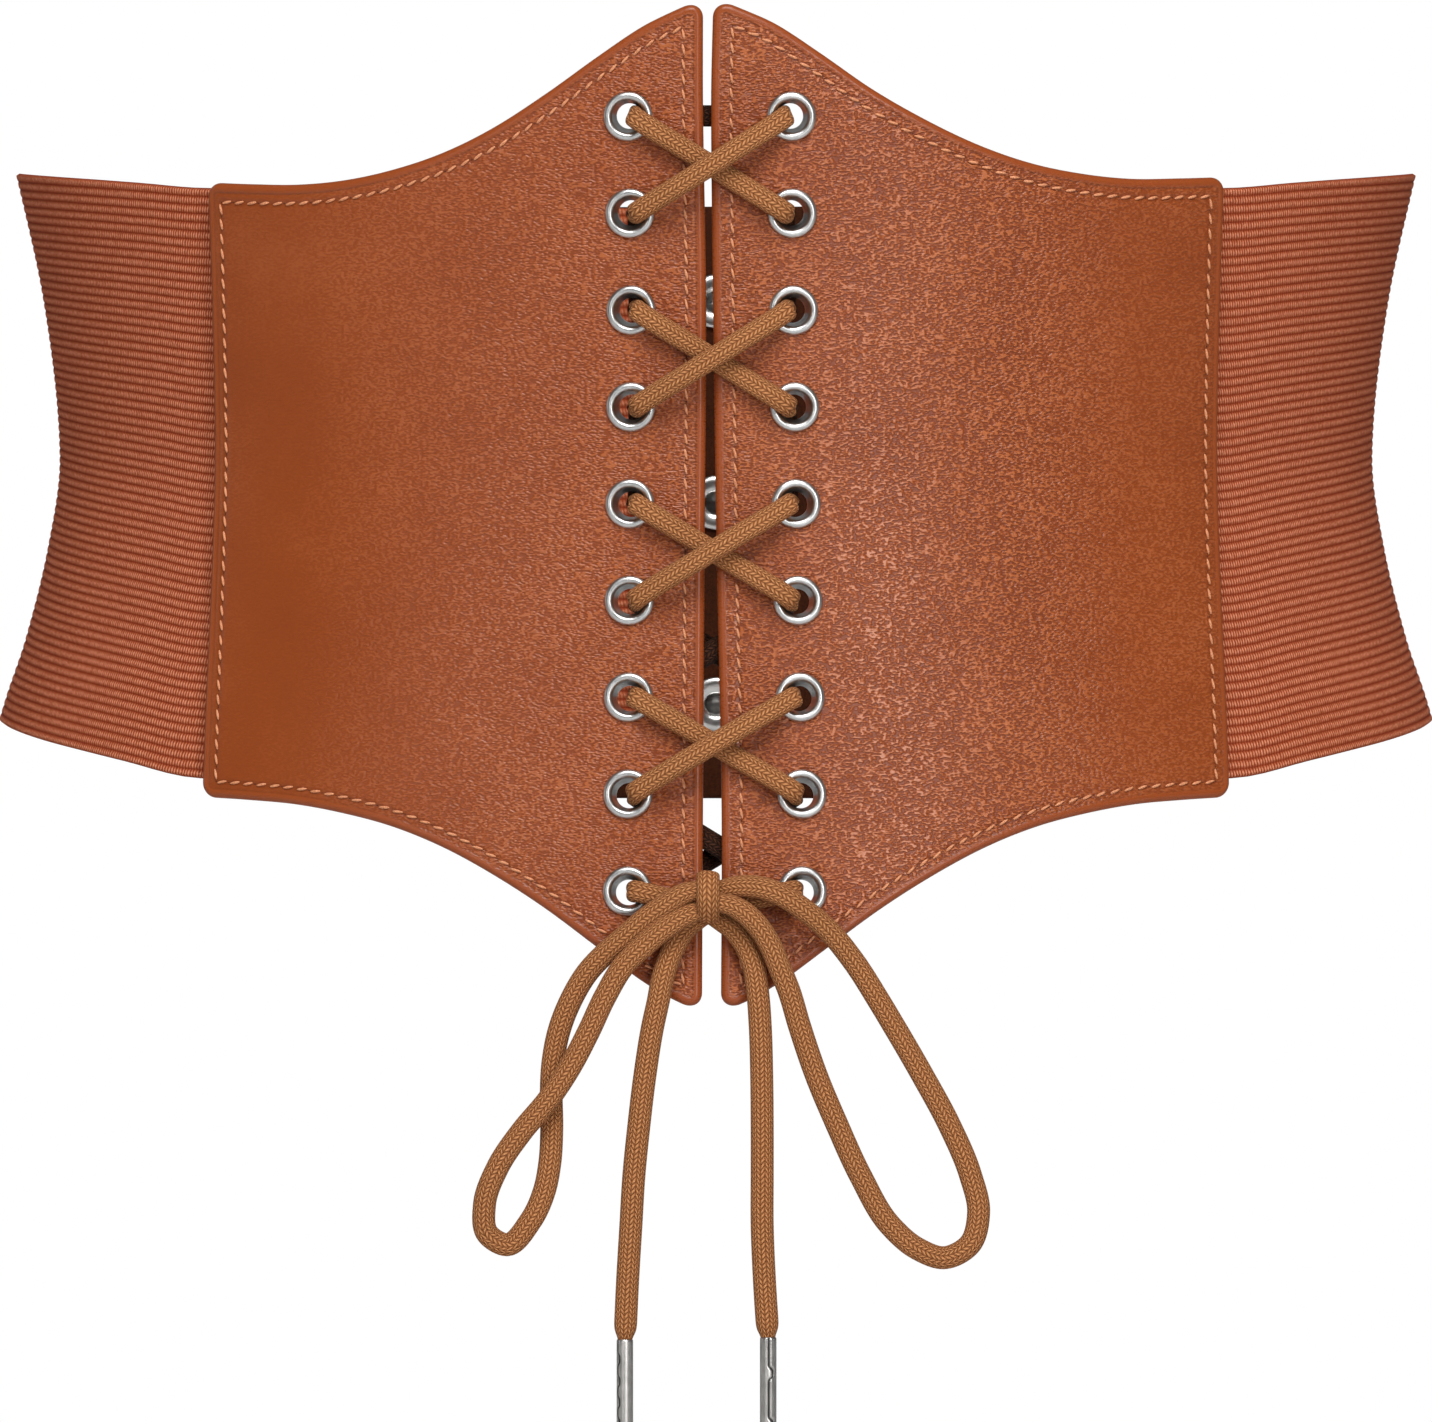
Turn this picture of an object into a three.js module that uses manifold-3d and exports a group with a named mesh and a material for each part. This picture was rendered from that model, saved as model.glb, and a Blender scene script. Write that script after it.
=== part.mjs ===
// A laced waist belt in imitation leather, in the form that it has when worn. Two stiff front
// panels with pointed tips are laced together through rolled eyelets. Wide elastic runs from
// them round the sides to a closing of two lapped strips with three press-snaps at the back.
// Lengths are in millimetres. +Z is up, the front looks along -Y, and the origin is the middle
// of the waist opening, at the waistline.
import * as THREE from 'three';
import { mergeVertices } from 'three/addons/utils/BufferGeometryUtils.js';
import Module from 'manifold-3d';

const wasm = await Module();
wasm.setup();

// The waist inside the belt, measured to the outer face of the elastic.
const waistWidth = 269;
const waistDepth = 190;

// Gap kept between pieces that lie on each other, and between the plies of a sewn seam.
const clearance = 0.3;
const seamClearance = 0.5;

// Front panels. Widths follow the surface round from the centre front.
const panelReach = 108.4;
const sideHeight = 124.8;
const jointTop = 55;
const peakRise = 34.1;
const pointDrop = 40.8;
const panelThickness = 2.4;
const panelRim = 0.8;
const tipRadius = 4;
const jointCornerRadius = 3;
const leftEdgeOffset = 2.6;

// Elastic, from behind each panel round to the closing.
const elasticThickness = 1.5;
const elasticTuck = 12;
const elasticTopStep = 1.7;
const elasticBottomStep = 4.2;
const sideTopRise = 4.6;
const sideBottomRise = 11.5;

// Closing at the centre back: the left strip laps over the right one.
const stripThickness = 1.8;
const stripOverlap = 28;
const stripSeam = 10;
const stripEndSpace = 2;
const stripHeight = 124;
const stripTopStep = 1.5;
const stripCornerRadius = 3;
const snapPitch = 42;
const capDiameter = 12;
const capHeight = 1.3;
const socketDiameter = 10;
const socketHeight = 0.9;
const studDiameter = 5.8;
const studRingDiameter = 11.5;
const studRingHeight = 0.9;
const snapSheet = 0.5;

// Eyelets. The inset is the distance of their centres from the panel's front edge.
const eyeletHole = 5.3;
const eyeletTubeWall = 0.45;
const eyeletFlange = 9.8;
const eyeletRoll = 0.8;
const tipToEyelet = 22.4;
const leftEyeletInset = 15;
const rightEyeletInset = 16.1;

// Lace and bow. The bow lies in front of the last pair of eyelets.
const laceDiameter = 3.4;
const laceSides = 8;
const knotWidth = 4.4;
const knotHeight = 10.2;
const knotDepth = 8.8;
const knotShift = 0.8;
const knotDrop = 1.1;
const laceEndDrop = 1.8;
const agletDiameter = 3.3;
const agletLength = 23;

// Colours and finishes.
const leather = { color: 0x9a522c, roughness: 0.55, metalness: 0 };
const elasticCloth = { color: 0x944c31, roughness: 0.85, metalness: 0 };
const braid = { color: 0x94623d, roughness: 0.8, metalness: 0 };
const brightMetal = { color: 0xb9b7b2, roughness: 0.3, metalness: 1 };

// The waist form. Height is a share of the side height, width and depth of the waist's own.
const waistForm = [
  { height: -0.9, width: 1.2, depth: 1.075 },
  { height: -0.55, width: 1.122, depth: 1.035 },
  { height: -0.4, width: 1.083, depth: 1.02 },
  { height: -0.3, width: 1.052, depth: 1.012 },
  { height: -0.15, width: 1.018, depth: 1.003 },
  { height: 0, width: 1, depth: 1 },
  { height: 0.25, width: 1.024, depth: 1.005 },
  { height: 0.5, width: 1.074, depth: 1.018 },
  { height: 0.75, width: 1.12, depth: 1.035 },
];

// The panels' outline. Across runs from the front edge to the side joint as a share of the
// panel's width, left and right are the two top edges as shares of the peak's rise, and bottom
// is a share of the point's drop. The left panel's top edge is cut a little lower.
const panelOutline = [
  { across: 0, left: 1.035, right: 1.038, bottom: 1.045 },
  { across: 0.06, left: 0.955, right: 0.965, bottom: 0.975 },
  { across: 0.12, left: 0.862, right: 0.879, bottom: 0.882 },
  { across: 0.2, left: 0.697, right: 0.716, bottom: 0.728 },
  { across: 0.3, left: 0.48, right: 0.501, bottom: 0.538 },
  { across: 0.4, left: 0.286, right: 0.324, bottom: 0.374 },
  { across: 0.5, left: 0.14, right: 0.18, bottom: 0.238 },
  { across: 0.6, left: 0.042, right: 0.077, bottom: 0.137 },
  { across: 0.7, left: -0.018, right: 0.019, bottom: 0.072 },
  { across: 0.8, left: -0.042, right: -0.008, bottom: 0.028 },
  { across: 0.9, left: -0.036, right: -0.002, bottom: 0.007 },
  { across: 1, left: -0.022, right: 0.01, bottom: -0.007 },
];

// The gap between the panels from their upper tips down, and how far its left edge bows aside.
const frontGap = [
  { down: 0, bow: 0, gap: 2 },
  { down: 0.1, bow: 0, gap: 1.6 },
  { down: 0.3, bow: 0.6, gap: 1.4 },
  { down: 0.55, bow: 0.3, gap: 2.4 },
  { down: 0.8, bow: 0, gap: 3.7 },
  { down: 1, bow: -0.2, gap: 3.8 },
];

// How far the elastic draws in round the side, as a share of the rise of each edge there.
const elasticDraw = [
  { around: 0, lift: 0 },
  { around: 0.05, lift: 0 },
  { around: 0.11, lift: 0.28 },
  { around: 0.18, lift: 0.54 },
  { around: 0.29, lift: 0.85 },
  { around: 0.38, lift: 1 },
  { around: 0.5, lift: 0.93 },
  { around: 0.7, lift: 0.5 },
  { around: 0.85, lift: 0.17 },
  { around: 1, lift: 0 },
];

// The way of the lace through the eyelets, from one end at the knot to the other. It goes in
// turn in front of the panels and behind them. Level 1 passes over level 0 where they cross.
const threading = [
  { side: 'left', row: 9, level: 1 },
  { side: 'right', row: 8, level: 0 },
  { side: 'left', row: 7, level: 0 },
  { side: 'right', row: 6, level: 0 },
  { side: 'left', row: 5, level: 0 },
  { side: 'left', row: 4, level: 1 },
  { side: 'right', row: 3, level: 0 },
  { side: 'right', row: 2, level: 0 },
  { side: 'left', row: 1, level: 0 },
  { side: 'right', row: 1, level: 1 },
  { side: 'left', row: 2, level: 0 },
  { side: 'left', row: 3, level: 0 },
  { side: 'right', row: 4, level: 0 },
  { side: 'right', row: 5, level: 1 },
  { side: 'left', row: 6, level: 1 },
  { side: 'right', row: 7, level: 1 },
  { side: 'left', row: 8, level: 0 },
  { side: 'right', row: 9, level: 0 },
];

// The free stretches of lace, as distances right of, above and in front of the knot's middle.
const leftLoopRoute = [
  [-2.9, 1.2, 6.8], [-4.5, 0.8, 6.8], [-8.5, -1.6, 6.4], [-12.3, -4.2, 5.7],
  [-16.2, -7.6, 5.0], [-20.2, -11.0, 4.2], [-24.0, -15.0, 3.4], [-27.4, -20.7, 2.9],
  [-29.7, -26.6, 2.7], [-31.0, -33.4, 2.6], [-31.3, -39.2, 2.6], [-31.2, -46.2, 2.8],
  [-31.6, -53.2, 3.2], [-32.6, -58.4, 3.7], [-35.4, -64.6, 4.3], [-40.2, -69.4, 4.8],
  [-44.0, -67.2, 5.4], [-44.6, -61.4, 6.0], [-42.0, -54.0, 6.5], [-37.2, -46.8, 6.7],
  [-32.0, -40.6, 6.7], [-27.7, -34.2, 6.6], [-23.8, -26.8, 6.5], [-20.5, -19.8, 6.5],
  [-16.9, -13.8, 6.6], [-12.9, -9.8, 6.7], [-8.8, -6.4, 6.7], [-4.6, -3.8, 6.7],
  [-2.9, -3.1, 6.7],
];
const rightLoopRoute = [
  [2.9, 1.5, 4.8], [4.2, 1.8, 5.1], [8.4, 2.1, 6.1], [12.0, 1.5, 6.8], [14.6, 0.4, 6.8],
  [19.2, -2.6, 6.0], [24.2, -6.9, 4.4], [29.0, -12.8, 3.2], [34.0, -20.6, 2.8], [37.0, -25.6, 2.7],
  [42.8, -35.6, 2.6], [48.2, -45.6, 2.6], [52.4, -55.6, 2.8], [54.0, -63.0, 3.1],
  [52.2, -69.4, 3.5], [47.2, -72.0, 3.9], [41.8, -70.2, 4.2], [36.4, -65.6, 4.5],
  [30.4, -55.6, 5.0], [25.8, -45.6, 5.4], [21.6, -35.6, 5.8], [18.2, -25.6, 6.1],
  [16.1, -18.6, 6.4], [14.4, -14.4, 6.6], [12.4, -9.6, 6.8], [9.8, -5.6, 7.0],
  [6.8, -2.8, 7.2], [4.2, -1.5, 7.3], [2.9, -1.2, 7.3],
];
const leftTailRoute = [
  [-2.9, -5.3, 3.0], [-4.2, -6.2, 3.0], [-6.2, -8.9, 3.3], [-7.8, -12.3, 3.8], [-9.1, -16.4, 4.3],
  [-9.9, -20.6, 4.6], [-11.0, -25.6, 4.7], [-12.6, -35.6, 4.7], [-13.8, -45.6, 4.7],
  [-14.8, -55.6, 4.7], [-15.4, -65.6, 4.7], [-16.0, -75.6, 4.7], [-16.6, -88.6, 4.7],
];
const rightTailRoute = [
  [2.9, -5.2, 3.0], [4.4, -6.1, 3.0], [6.9, -8.8, 3.3], [8.8, -12.8, 3.9], [10.0, -20.0, 4.6],
  [10.4, -25.6, 4.7], [10.7, -35.6, 4.7], [10.8, -45.6, 4.7], [10.8, -55.6, 4.7],
  [10.8, -65.6, 4.7], [11.2, -75.6, 4.7], [12.0, -88.2, 4.7],
];

const belt = new THREE.Group();

// A smooth curve through a table's column, read at one value of its first column.
function readTable(rows, key, column, at) {
  const last = rows.length - 1;
  const value = (index) => rows[index][column];
  const place = (index) => rows[index][key];
  const slope = (index) => {
    const before = Math.max(index - 1, 0);
    const after = Math.min(index + 1, last);
    return (value(after) - value(before)) / (place(after) - place(before));
  };
  let start = 0;
  while (start < last - 1 && place(start + 1) < at) {
    start += 1;
  }
  const end = start + 1;
  const length = place(end) - place(start);
  const share = (at - place(start)) / length;
  if (share < 0) {
    return value(start) + slope(start) * share * length;
  }
  if (share > 1) {
    return value(end) + slope(end) * (share - 1) * length;
  }
  const square = share * share;
  const cube = square * share;
  return value(start) * (2 * cube - 3 * square + 1)
    + slope(start) * length * (cube - 2 * square + share)
    + value(end) * (3 * square - 2 * cube)
    + slope(end) * length * (cube - square);
}

// A point of the worn form. Turn is the angle from the centre front, positive to the right,
// and proud is the distance outside the elastic's outer face.
function formPoint(turn, height, proud) {
  const level = height / sideHeight;
  const halfWidth = waistWidth / 2 * readTable(waistForm, 'height', 'width', level) + proud;
  const halfDepth = waistDepth / 2 * readTable(waistForm, 'height', 'depth', level) + proud;
  return new THREE.Vector3(halfWidth * Math.sin(turn), -halfDepth * Math.cos(turn), height);
}

// The turn at a distance along the form, from the centre front or from the centre back.
function turnAlong(distance, height, proud, startTurn = 0) {
  const stepTurn = THREE.MathUtils.degToRad(2) * Math.sign(distance);
  let turn = startTurn;
  let left = Math.abs(distance);
  let point = formPoint(turn, height, proud);
  while (left > 0) {
    const next = formPoint(turn + stepTurn, height, proud);
    const length = next.distanceTo(point);
    turn += stepTurn * Math.min(1, left / length);
    left -= length;
    point = next;
  }
  return turn;
}

// The direction straight out of the form.
function formNormal(turn, height, proud) {
  const small = 0.001;
  const sideways = formPoint(turn + small, height, proud).sub(formPoint(turn - small, height, proud));
  const upward = formPoint(turn, height + small, proud).sub(formPoint(turn, height - small, proud));
  return sideways.cross(upward).normalize();
}

// Only the positions matter for a solid, and vertices that coincide are made one.
function mergedGeometry(geometry) {
  const merged = geometry.clone();
  merged.deleteAttribute('normal');
  merged.deleteAttribute('uv');
  return mergeVertices(merged, 0.0001);
}

function toSolid(geometry) {
  const merged = mergedGeometry(geometry);
  return new wasm.Manifold(new wasm.Mesh({
    numProp: 3,
    vertProperties: new Float32Array(merged.attributes.position.array),
    triVerts: new Uint32Array(merged.index.array),
  }));
}

function toGeometry(solid) {
  const mesh = solid.getMesh();
  const geometry = new THREE.BufferGeometry();
  geometry.setAttribute('position', new THREE.BufferAttribute(mesh.vertProperties, 3));
  geometry.setIndex(new THREE.BufferAttribute(mesh.triVerts, 1));
  geometry.computeVertexNormals();
  return geometry;
}

function addMesh(name, geometry, finish, parent = belt) {
  const mesh = new THREE.Mesh(geometry, new THREE.MeshStandardMaterial(finish));
  mesh.name = name;
  parent.add(mesh);
  return mesh;
}

// A curved wall as a bent box. The place function gives the turn and the height at a share
// across and a share up, drawn in by an inset. Each layer of the wall has its own inset.
function wallGeometry({ columns, rows, layers, place }) {
  const depths = layers.length - 1;
  const box = new THREE.BoxGeometry(1, 1, 1, columns.length - 1, rows, depths);
  const position = box.attributes.position;
  for (let index = 0; index < position.count; index += 1) {
    const column = Math.round((position.getX(index) + 0.5) * (columns.length - 1));
    const up = position.getY(index) + 0.5;
    const { proud, inset } = layers[Math.round((position.getZ(index) + 0.5) * depths)];
    const { turn, height } = place(columns[column], up, inset);
    const point = formPoint(turn, height, proud);
    position.setXYZ(index, point.x, point.y, point.z);
  }
  return box;
}

// Shares across a wall: two close columns shape each round corner, and the rest are even.
function cornerColumns(width, startRadius, endRadius, evenCount) {
  const quarter = 1 - Math.SQRT1_2;
  const start = startRadius / width;
  const end = 1 - endRadius / width;
  const columns = [0, start * quarter];
  for (let index = 0; index <= evenCount; index += 1) {
    columns.push(THREE.MathUtils.lerp(start, end, index / evenCount));
  }
  columns.push(1 - (1 - end) * quarter, 1);
  return columns;
}

// How far a round corner cuts into the height at a distance from the wall's end.
function cornerCut(distance, radius) {
  const inside = Math.max(radius - distance, 0);
  return radius - Math.sqrt(Math.max(radius * radius - inside * inside, 0));
}

// Front panels.
const panelProud = seamClearance;
const panelFace = panelProud + panelThickness;
const panelTop = jointTop + peakRise;
const panelBottom = jointTop - sideHeight - pointDrop;

// The front edge of each panel, at its distance right of the centre front.
function frontEdge(side, height) {
  const down = THREE.MathUtils.inverseLerp(panelTop, panelBottom, height);
  const left = readTable(frontGap, 'down', 'bow', down) - leftEdgeOffset;
  return side === 'left' ? left : left + readTable(frontGap, 'down', 'gap', down);
}

function panelPlace(side, across, up, inset) {
  const sign = side === 'left' ? -1 : 1;
  const width = panelReach - leftEdgeOffset;
  const fromFront = across * width;
  const cut = cornerCut(fromFront, tipRadius) + cornerCut(width - fromFront, jointCornerRadius);
  const top = jointTop + peakRise * readTable(panelOutline, 'across', side, across) - cut;
  const bottom = jointTop - sideHeight
    - pointDrop * readTable(panelOutline, 'across', 'bottom', across) + cut;
  const height = THREE.MathUtils.lerp(bottom + inset, top - inset, up);
  const start = frontEdge(side, height) + sign * inset;
  const end = sign * (panelReach - inset);
  return { turn: turnAlong(THREE.MathUtils.lerp(start, end, across), height, panelFace), height };
}

// Eyelets stand at even heights between the tips, as far from the tips as named.
const rowCount = threading.length / 2;
const rowPitch = (panelTop - panelBottom - 2 * tipToEyelet) / (rowCount - 1);

const eyelets = threading.map(({ side, row, level }) => {
  const height = panelTop - tipToEyelet - rowPitch * (row - 1);
  const inset = side === 'left' ? -leftEyeletInset : rightEyeletInset;
  const turn = turnAlong(frontEdge(side, height) + inset, height, panelFace);
  const origin = formPoint(turn, height, panelFace);
  const normal = formNormal(turn, height, panelFace);
  return { side, row, level, origin, normal };
});

function placeOnNormal(object, origin, normal) {
  object.position.copy(origin);
  object.quaternion.setFromUnitVectors(new THREE.Vector3(0, 1, 0), normal);
  object.updateMatrix();
}

// A round cutter through a wall, along the wall's normal.
function holeCutter(origin, normal, diameter, length) {
  const cutter = new THREE.Object3D();
  placeOnNormal(cutter, origin, normal);
  const radius = diameter / 2;
  const cylinder = new THREE.CylinderGeometry(radius, radius, length, 10);
  return toSolid(cylinder.applyMatrix4(cutter.matrix));
}

const eyeletTube = eyeletHole + 2 * eyeletTubeWall;
const panelHole = eyeletTube + 2 * clearance;

function makePanel(side) {
  const columns = cornerColumns(panelReach - leftEdgeOffset, tipRadius, jointCornerRadius, 10);
  const shares = side === 'left' ? columns.map((share) => 1 - share).reverse() : columns;
  const layers = [
    { proud: panelProud, inset: panelRim },
    { proud: panelProud + panelRim * 0.6, inset: 0 },
    { proud: panelFace - panelRim, inset: 0 },
    { proud: panelFace, inset: panelRim },
  ];
  let solid = toSolid(wallGeometry({
    columns: shares,
    rows: 8,
    layers,
    place: (across, up, inset) => panelPlace(side, side === 'left' ? 1 - across : across, up, inset),
  }));
  for (const eyelet of eyelets.filter((one) => one.side === side)) {
    solid = solid.subtract(
      holeCutter(eyelet.origin, eyelet.normal, panelHole, 4 * panelThickness + 4 * clearance),
    );
  }
  addMesh(`panel_${side}`, toGeometry(solid), leather);
}

makePanel('left');
makePanel('right');

// Each eyelet is one ring: a tube through the panel, with its ends rolled over both faces.
function makeEyelets() {
  const bore = eyeletHole / 2;
  const tube = eyeletTube / 2;
  const flange = eyeletFlange / 2;
  const face = clearance;
  const back = -panelThickness - clearance;
  const profile = [
    [bore, back - eyeletRoll],
    [flange, back],
    [tube, back],
    [tube, face],
    [flange, face],
    [tube + eyeletRoll * 0.8, face + eyeletRoll],
    [bore, face + eyeletRoll * 0.5],
  ];
  const outline = [...profile, profile[0]].map(([radius, height]) => new THREE.Vector2(radius, height));
  for (const eyelet of eyelets) {
    const ring = new THREE.LatheGeometry(outline, 10);
    const mesh = addMesh(`eyelet_${eyelet.side}_${eyelet.row}`, ring, brightMetal);
    placeOnNormal(mesh, eyelet.origin, eyelet.normal);
  }
}

makeEyelets();

// Elastic. Its ends are sewn behind the panel and to a closing strip.
const stripReach = stripOverlap / 2 + stripEndSpace + stripSeam;
const elasticEnd = stripOverlap / 2 + stripEndSpace;

function makeElastic(side) {
  const sign = side === 'left' ? -1 : 1;
  const place = (share, up) => {
    const around = side === 'left' ? 1 - share : share;
    const lift = readTable(elasticDraw, 'around', 'lift', around);
    const top = jointTop - elasticTopStep + sideTopRise * lift;
    const bottom = jointTop - sideHeight + elasticBottomStep + sideBottomRise * lift;
    const height = THREE.MathUtils.lerp(bottom, top, up);
    const start = turnAlong(sign * (panelReach - elasticTuck), height, 0);
    const end = turnAlong(-sign * elasticEnd, height, 0, sign * Math.PI);
    return { turn: THREE.MathUtils.lerp(start, end, around), height };
  };
  const columns = Array.from({ length: 19 }, (_, index) => index / 18);
  const layers = [{ proud: -elasticThickness }, { proud: 0 }];
  addMesh(`elastic_${side}`, wallGeometry({ columns, rows: 7, layers, place }), elasticCloth);
}

makeElastic('left');
makeElastic('right');

// Closing strips. The left one lies outside the elastic and the right one inside it, so that
// the parts of the snaps fit between them.
const strips = [
  { side: 'left', inner: seamClearance, from: stripOverlap / 2, to: -stripReach },
  { side: 'right', inner: -elasticThickness - seamClearance - stripThickness, from: stripReach,
    to: -stripOverlap / 2 },
];
const stripTop = jointTop - stripTopStep;
const snapHeights = [1, 0, -1].map((step) => stripTop - stripHeight / 2 + step * snapPitch);
const socketHole = studDiameter + 2 * clearance + 2 * snapSheet;

// Snaps at the centre back, each set square to the strips.
const snapPlaces = snapHeights.map((height) => ({
  origin: formPoint(Math.PI, height, 0),
  normal: formNormal(Math.PI, height, 0),
}));

function makeStrip({ side, inner, from, to }) {
  const width = Math.abs(from - to);
  const shares = cornerColumns(width, stripCornerRadius, stripCornerRadius, 3);
  const place = (across, up) => {
    const fromEnd = across * width;
    const cut = cornerCut(fromEnd, stripCornerRadius) + cornerCut(width - fromEnd, stripCornerRadius);
    const height = THREE.MathUtils.lerp(stripTop - stripHeight + cut, stripTop - cut, up);
    const distance = THREE.MathUtils.lerp(from, to, across);
    return { turn: turnAlong(-distance, height, 0, Math.PI), height };
  };
  const layers = [{ proud: inner }, { proud: inner + stripThickness }];
  let solid = toSolid(wallGeometry({ columns: shares, rows: 4, layers, place }));
  const hole = (side === 'left' ? socketHole : studDiameter) + 2 * clearance;
  for (const { origin, normal } of snapPlaces) {
    solid = solid.subtract(holeCutter(origin, normal, hole, 6 * stripThickness));
  }
  addMesh(`closure_strip_${side}`, toGeometry(solid), leather);
}

strips.forEach(makeStrip);

// Each snap has a cap with a socket, riveted through the outer strip, and a hollow stud on a
// ring, riveted through the inner one. The stud stands in the socket.
function makeSnaps() {
  const [outerStrip, innerStrip] = strips;
  const outerFace = outerStrip.inner + stripThickness + clearance;
  const socketTop = outerStrip.inner - clearance;
  const stud = studDiameter / 2;
  const bore = stud + clearance;
  const shank = socketHole / 2;
  const cap = capDiameter / 2;
  const capProfile = [
    [0, outerFace + capHeight],
    [cap * 0.65, outerFace + capHeight * 0.9],
    [cap, outerFace + capHeight * 0.4],
    [cap, outerFace],
    [shank, outerFace],
    [shank, socketTop],
    [socketDiameter / 2, socketTop],
    [socketDiameter / 2, socketTop - socketHeight],
    [bore, socketTop - socketHeight],
    [bore, outerFace],
    [0, outerFace],
  ];
  const ring = studRingDiameter / 2;
  const ringTop = innerStrip.inner - clearance;
  const studTop = outerFace - clearance;
  const studProfile = [
    [0, studTop],
    [stud, studTop],
    [stud, ringTop],
    [ring, ringTop],
    [ring - studRingHeight * 0.5, ringTop - studRingHeight],
    [stud - snapSheet, ringTop - studRingHeight * 0.7],
    [stud - snapSheet, studTop - snapSheet],
    [0, studTop - snapSheet],
  ];
  const pieces = [
    { name: 'snap_cap', profile: capProfile },
    { name: 'snap_stud', profile: studProfile },
  ];
  for (const { name, profile } of pieces) {
    const outline = profile.map(([radius, height]) => new THREE.Vector2(radius, height));
    snapPlaces.forEach(({ origin, normal }, index) => {
      const turned = new THREE.LatheGeometry(outline.toReversed(), 10);
      const mesh = addMesh(`${name}_${index + 1}`, turned, brightMetal);
      placeOnNormal(mesh, origin, normal);
    });
  }
}

makeSnaps();

// The lace's section, and a path whose rings lie at the given points, so that the tight bends
// through the eyelets have more of them.
function laceSection() {
  const corners = Array.from({ length: laceSides }, (_, index) => {
    const angle = (index + 0.5) / laceSides * 2 * Math.PI;
    return new THREE.Vector2(Math.cos(angle), Math.sin(angle)).multiplyScalar(laceDiameter / 2);
  });
  return new THREE.Shape(corners);
}

class RingPath extends THREE.Curve {
  constructor(points) {
    super();
    this.points = points;
  }

  getPointAt(share) {
    return this.points[Math.round(share * (this.points.length - 1))].clone();
  }

  getTangentAt(share) {
    const index = Math.round(share * (this.points.length - 1));
    const before = this.points[Math.max(index - 1, 0)];
    const here = this.points[index];
    const after = this.points[Math.min(index + 1, this.points.length - 1)];
    const arriving = here.clone().sub(before).normalize();
    const leaving = after.clone().sub(here).normalize();
    return arriving.add(leaving).normalize();
  }
}

// The knot's middle lies on the panels' faces, level with the last eyelets.
const lastRow = panelTop - tipToEyelet - rowPitch * (rowCount - 1);
const knotMiddle = (frontEdge('left', lastRow) + frontEdge('right', lastRow)) / 2 - knotShift;
const knotPlace = formPoint(0, lastRow - knotDrop, panelFace).setX(knotMiddle);
const bend = laceDiameter / 2 + clearance;
const rimLevel = clearance + eyeletRoll;

// One leg of the lace leaves its hole along the normal, turns over the eyelet's rolled edge
// and heads for the next hole.
function bendPoints(hole, outward, target) {
  const along = target.clone().sub(hole);
  along.addScaledVector(outward, -along.dot(outward)).normalize();
  return [0, 45, 90].map((degrees) => {
    const angle = THREE.MathUtils.degToRad(degrees);
    return hole.clone()
      .addScaledVector(along, bend * (1 - Math.cos(angle)))
      .addScaledVector(outward, bend * Math.sin(angle));
  });
}

function makeThreadedLace() {
  const holeShift = eyeletHole / 2 - bend;
  const stops = eyelets.map(({ side, origin, normal, level }) => {
    const towardCentre = new THREE.Vector3(side === 'left' ? 1 : -1, 0, 0);
    towardCentre.addScaledVector(normal, -towardCentre.dot(normal)).normalize();
    const middle = origin.clone().addScaledVector(towardCentre, holeShift);
    const front = middle.clone().addScaledVector(normal, rimLevel);
    const back = middle.clone().addScaledVector(normal, -panelThickness - rimLevel);
    return { level, normal, front, back };
  });
  const knotSide = (sign) => knotPlace.clone().add(
    new THREE.Vector3(sign * (knotWidth / 2 + 2 * clearance), -bend, -laceEndDrop),
  );
  const points = [knotSide(-1)];
  points.push(...bendPoints(stops[0].front, stops[0].normal, knotSide(-1)).reverse());
  for (let index = 0; index < stops.length - 1; index += 1) {
    const from = stops[index];
    const to = stops[index + 1];
    const face = index % 2 === 0 ? 'back' : 'front';
    const facing = face === 'front' ? 1 : -1;
    const leaving = bendPoints(from[face], from.normal.clone().multiplyScalar(facing), to[face]);
    const arriving = bendPoints(to[face], to.normal.clone().multiplyScalar(facing), from[face]);
    const lift = from.level * (laceDiameter + clearance) * facing;
    const middle = from.normal.clone().add(to.normal).normalize();
    points.push(...leaving);
    for (const share of from.level === 1 ? [0.35, 0.65] : []) {
      const raised = leaving[2].clone().lerp(arriving[2], share);
      points.push(raised.addScaledVector(middle, lift));
    }
    points.push(...arriving.reverse());
  }
  const last = stops[stops.length - 1];
  points.push(...bendPoints(last.front, last.normal, knotSide(1)));
  points.push(knotSide(1));
  addMesh('lace_threaded', new THREE.ExtrudeGeometry(laceSection(), {
    steps: points.length - 1,
    extrudePath: new RingPath(points),
  }), braid);
}

makeThreadedLace();

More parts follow.
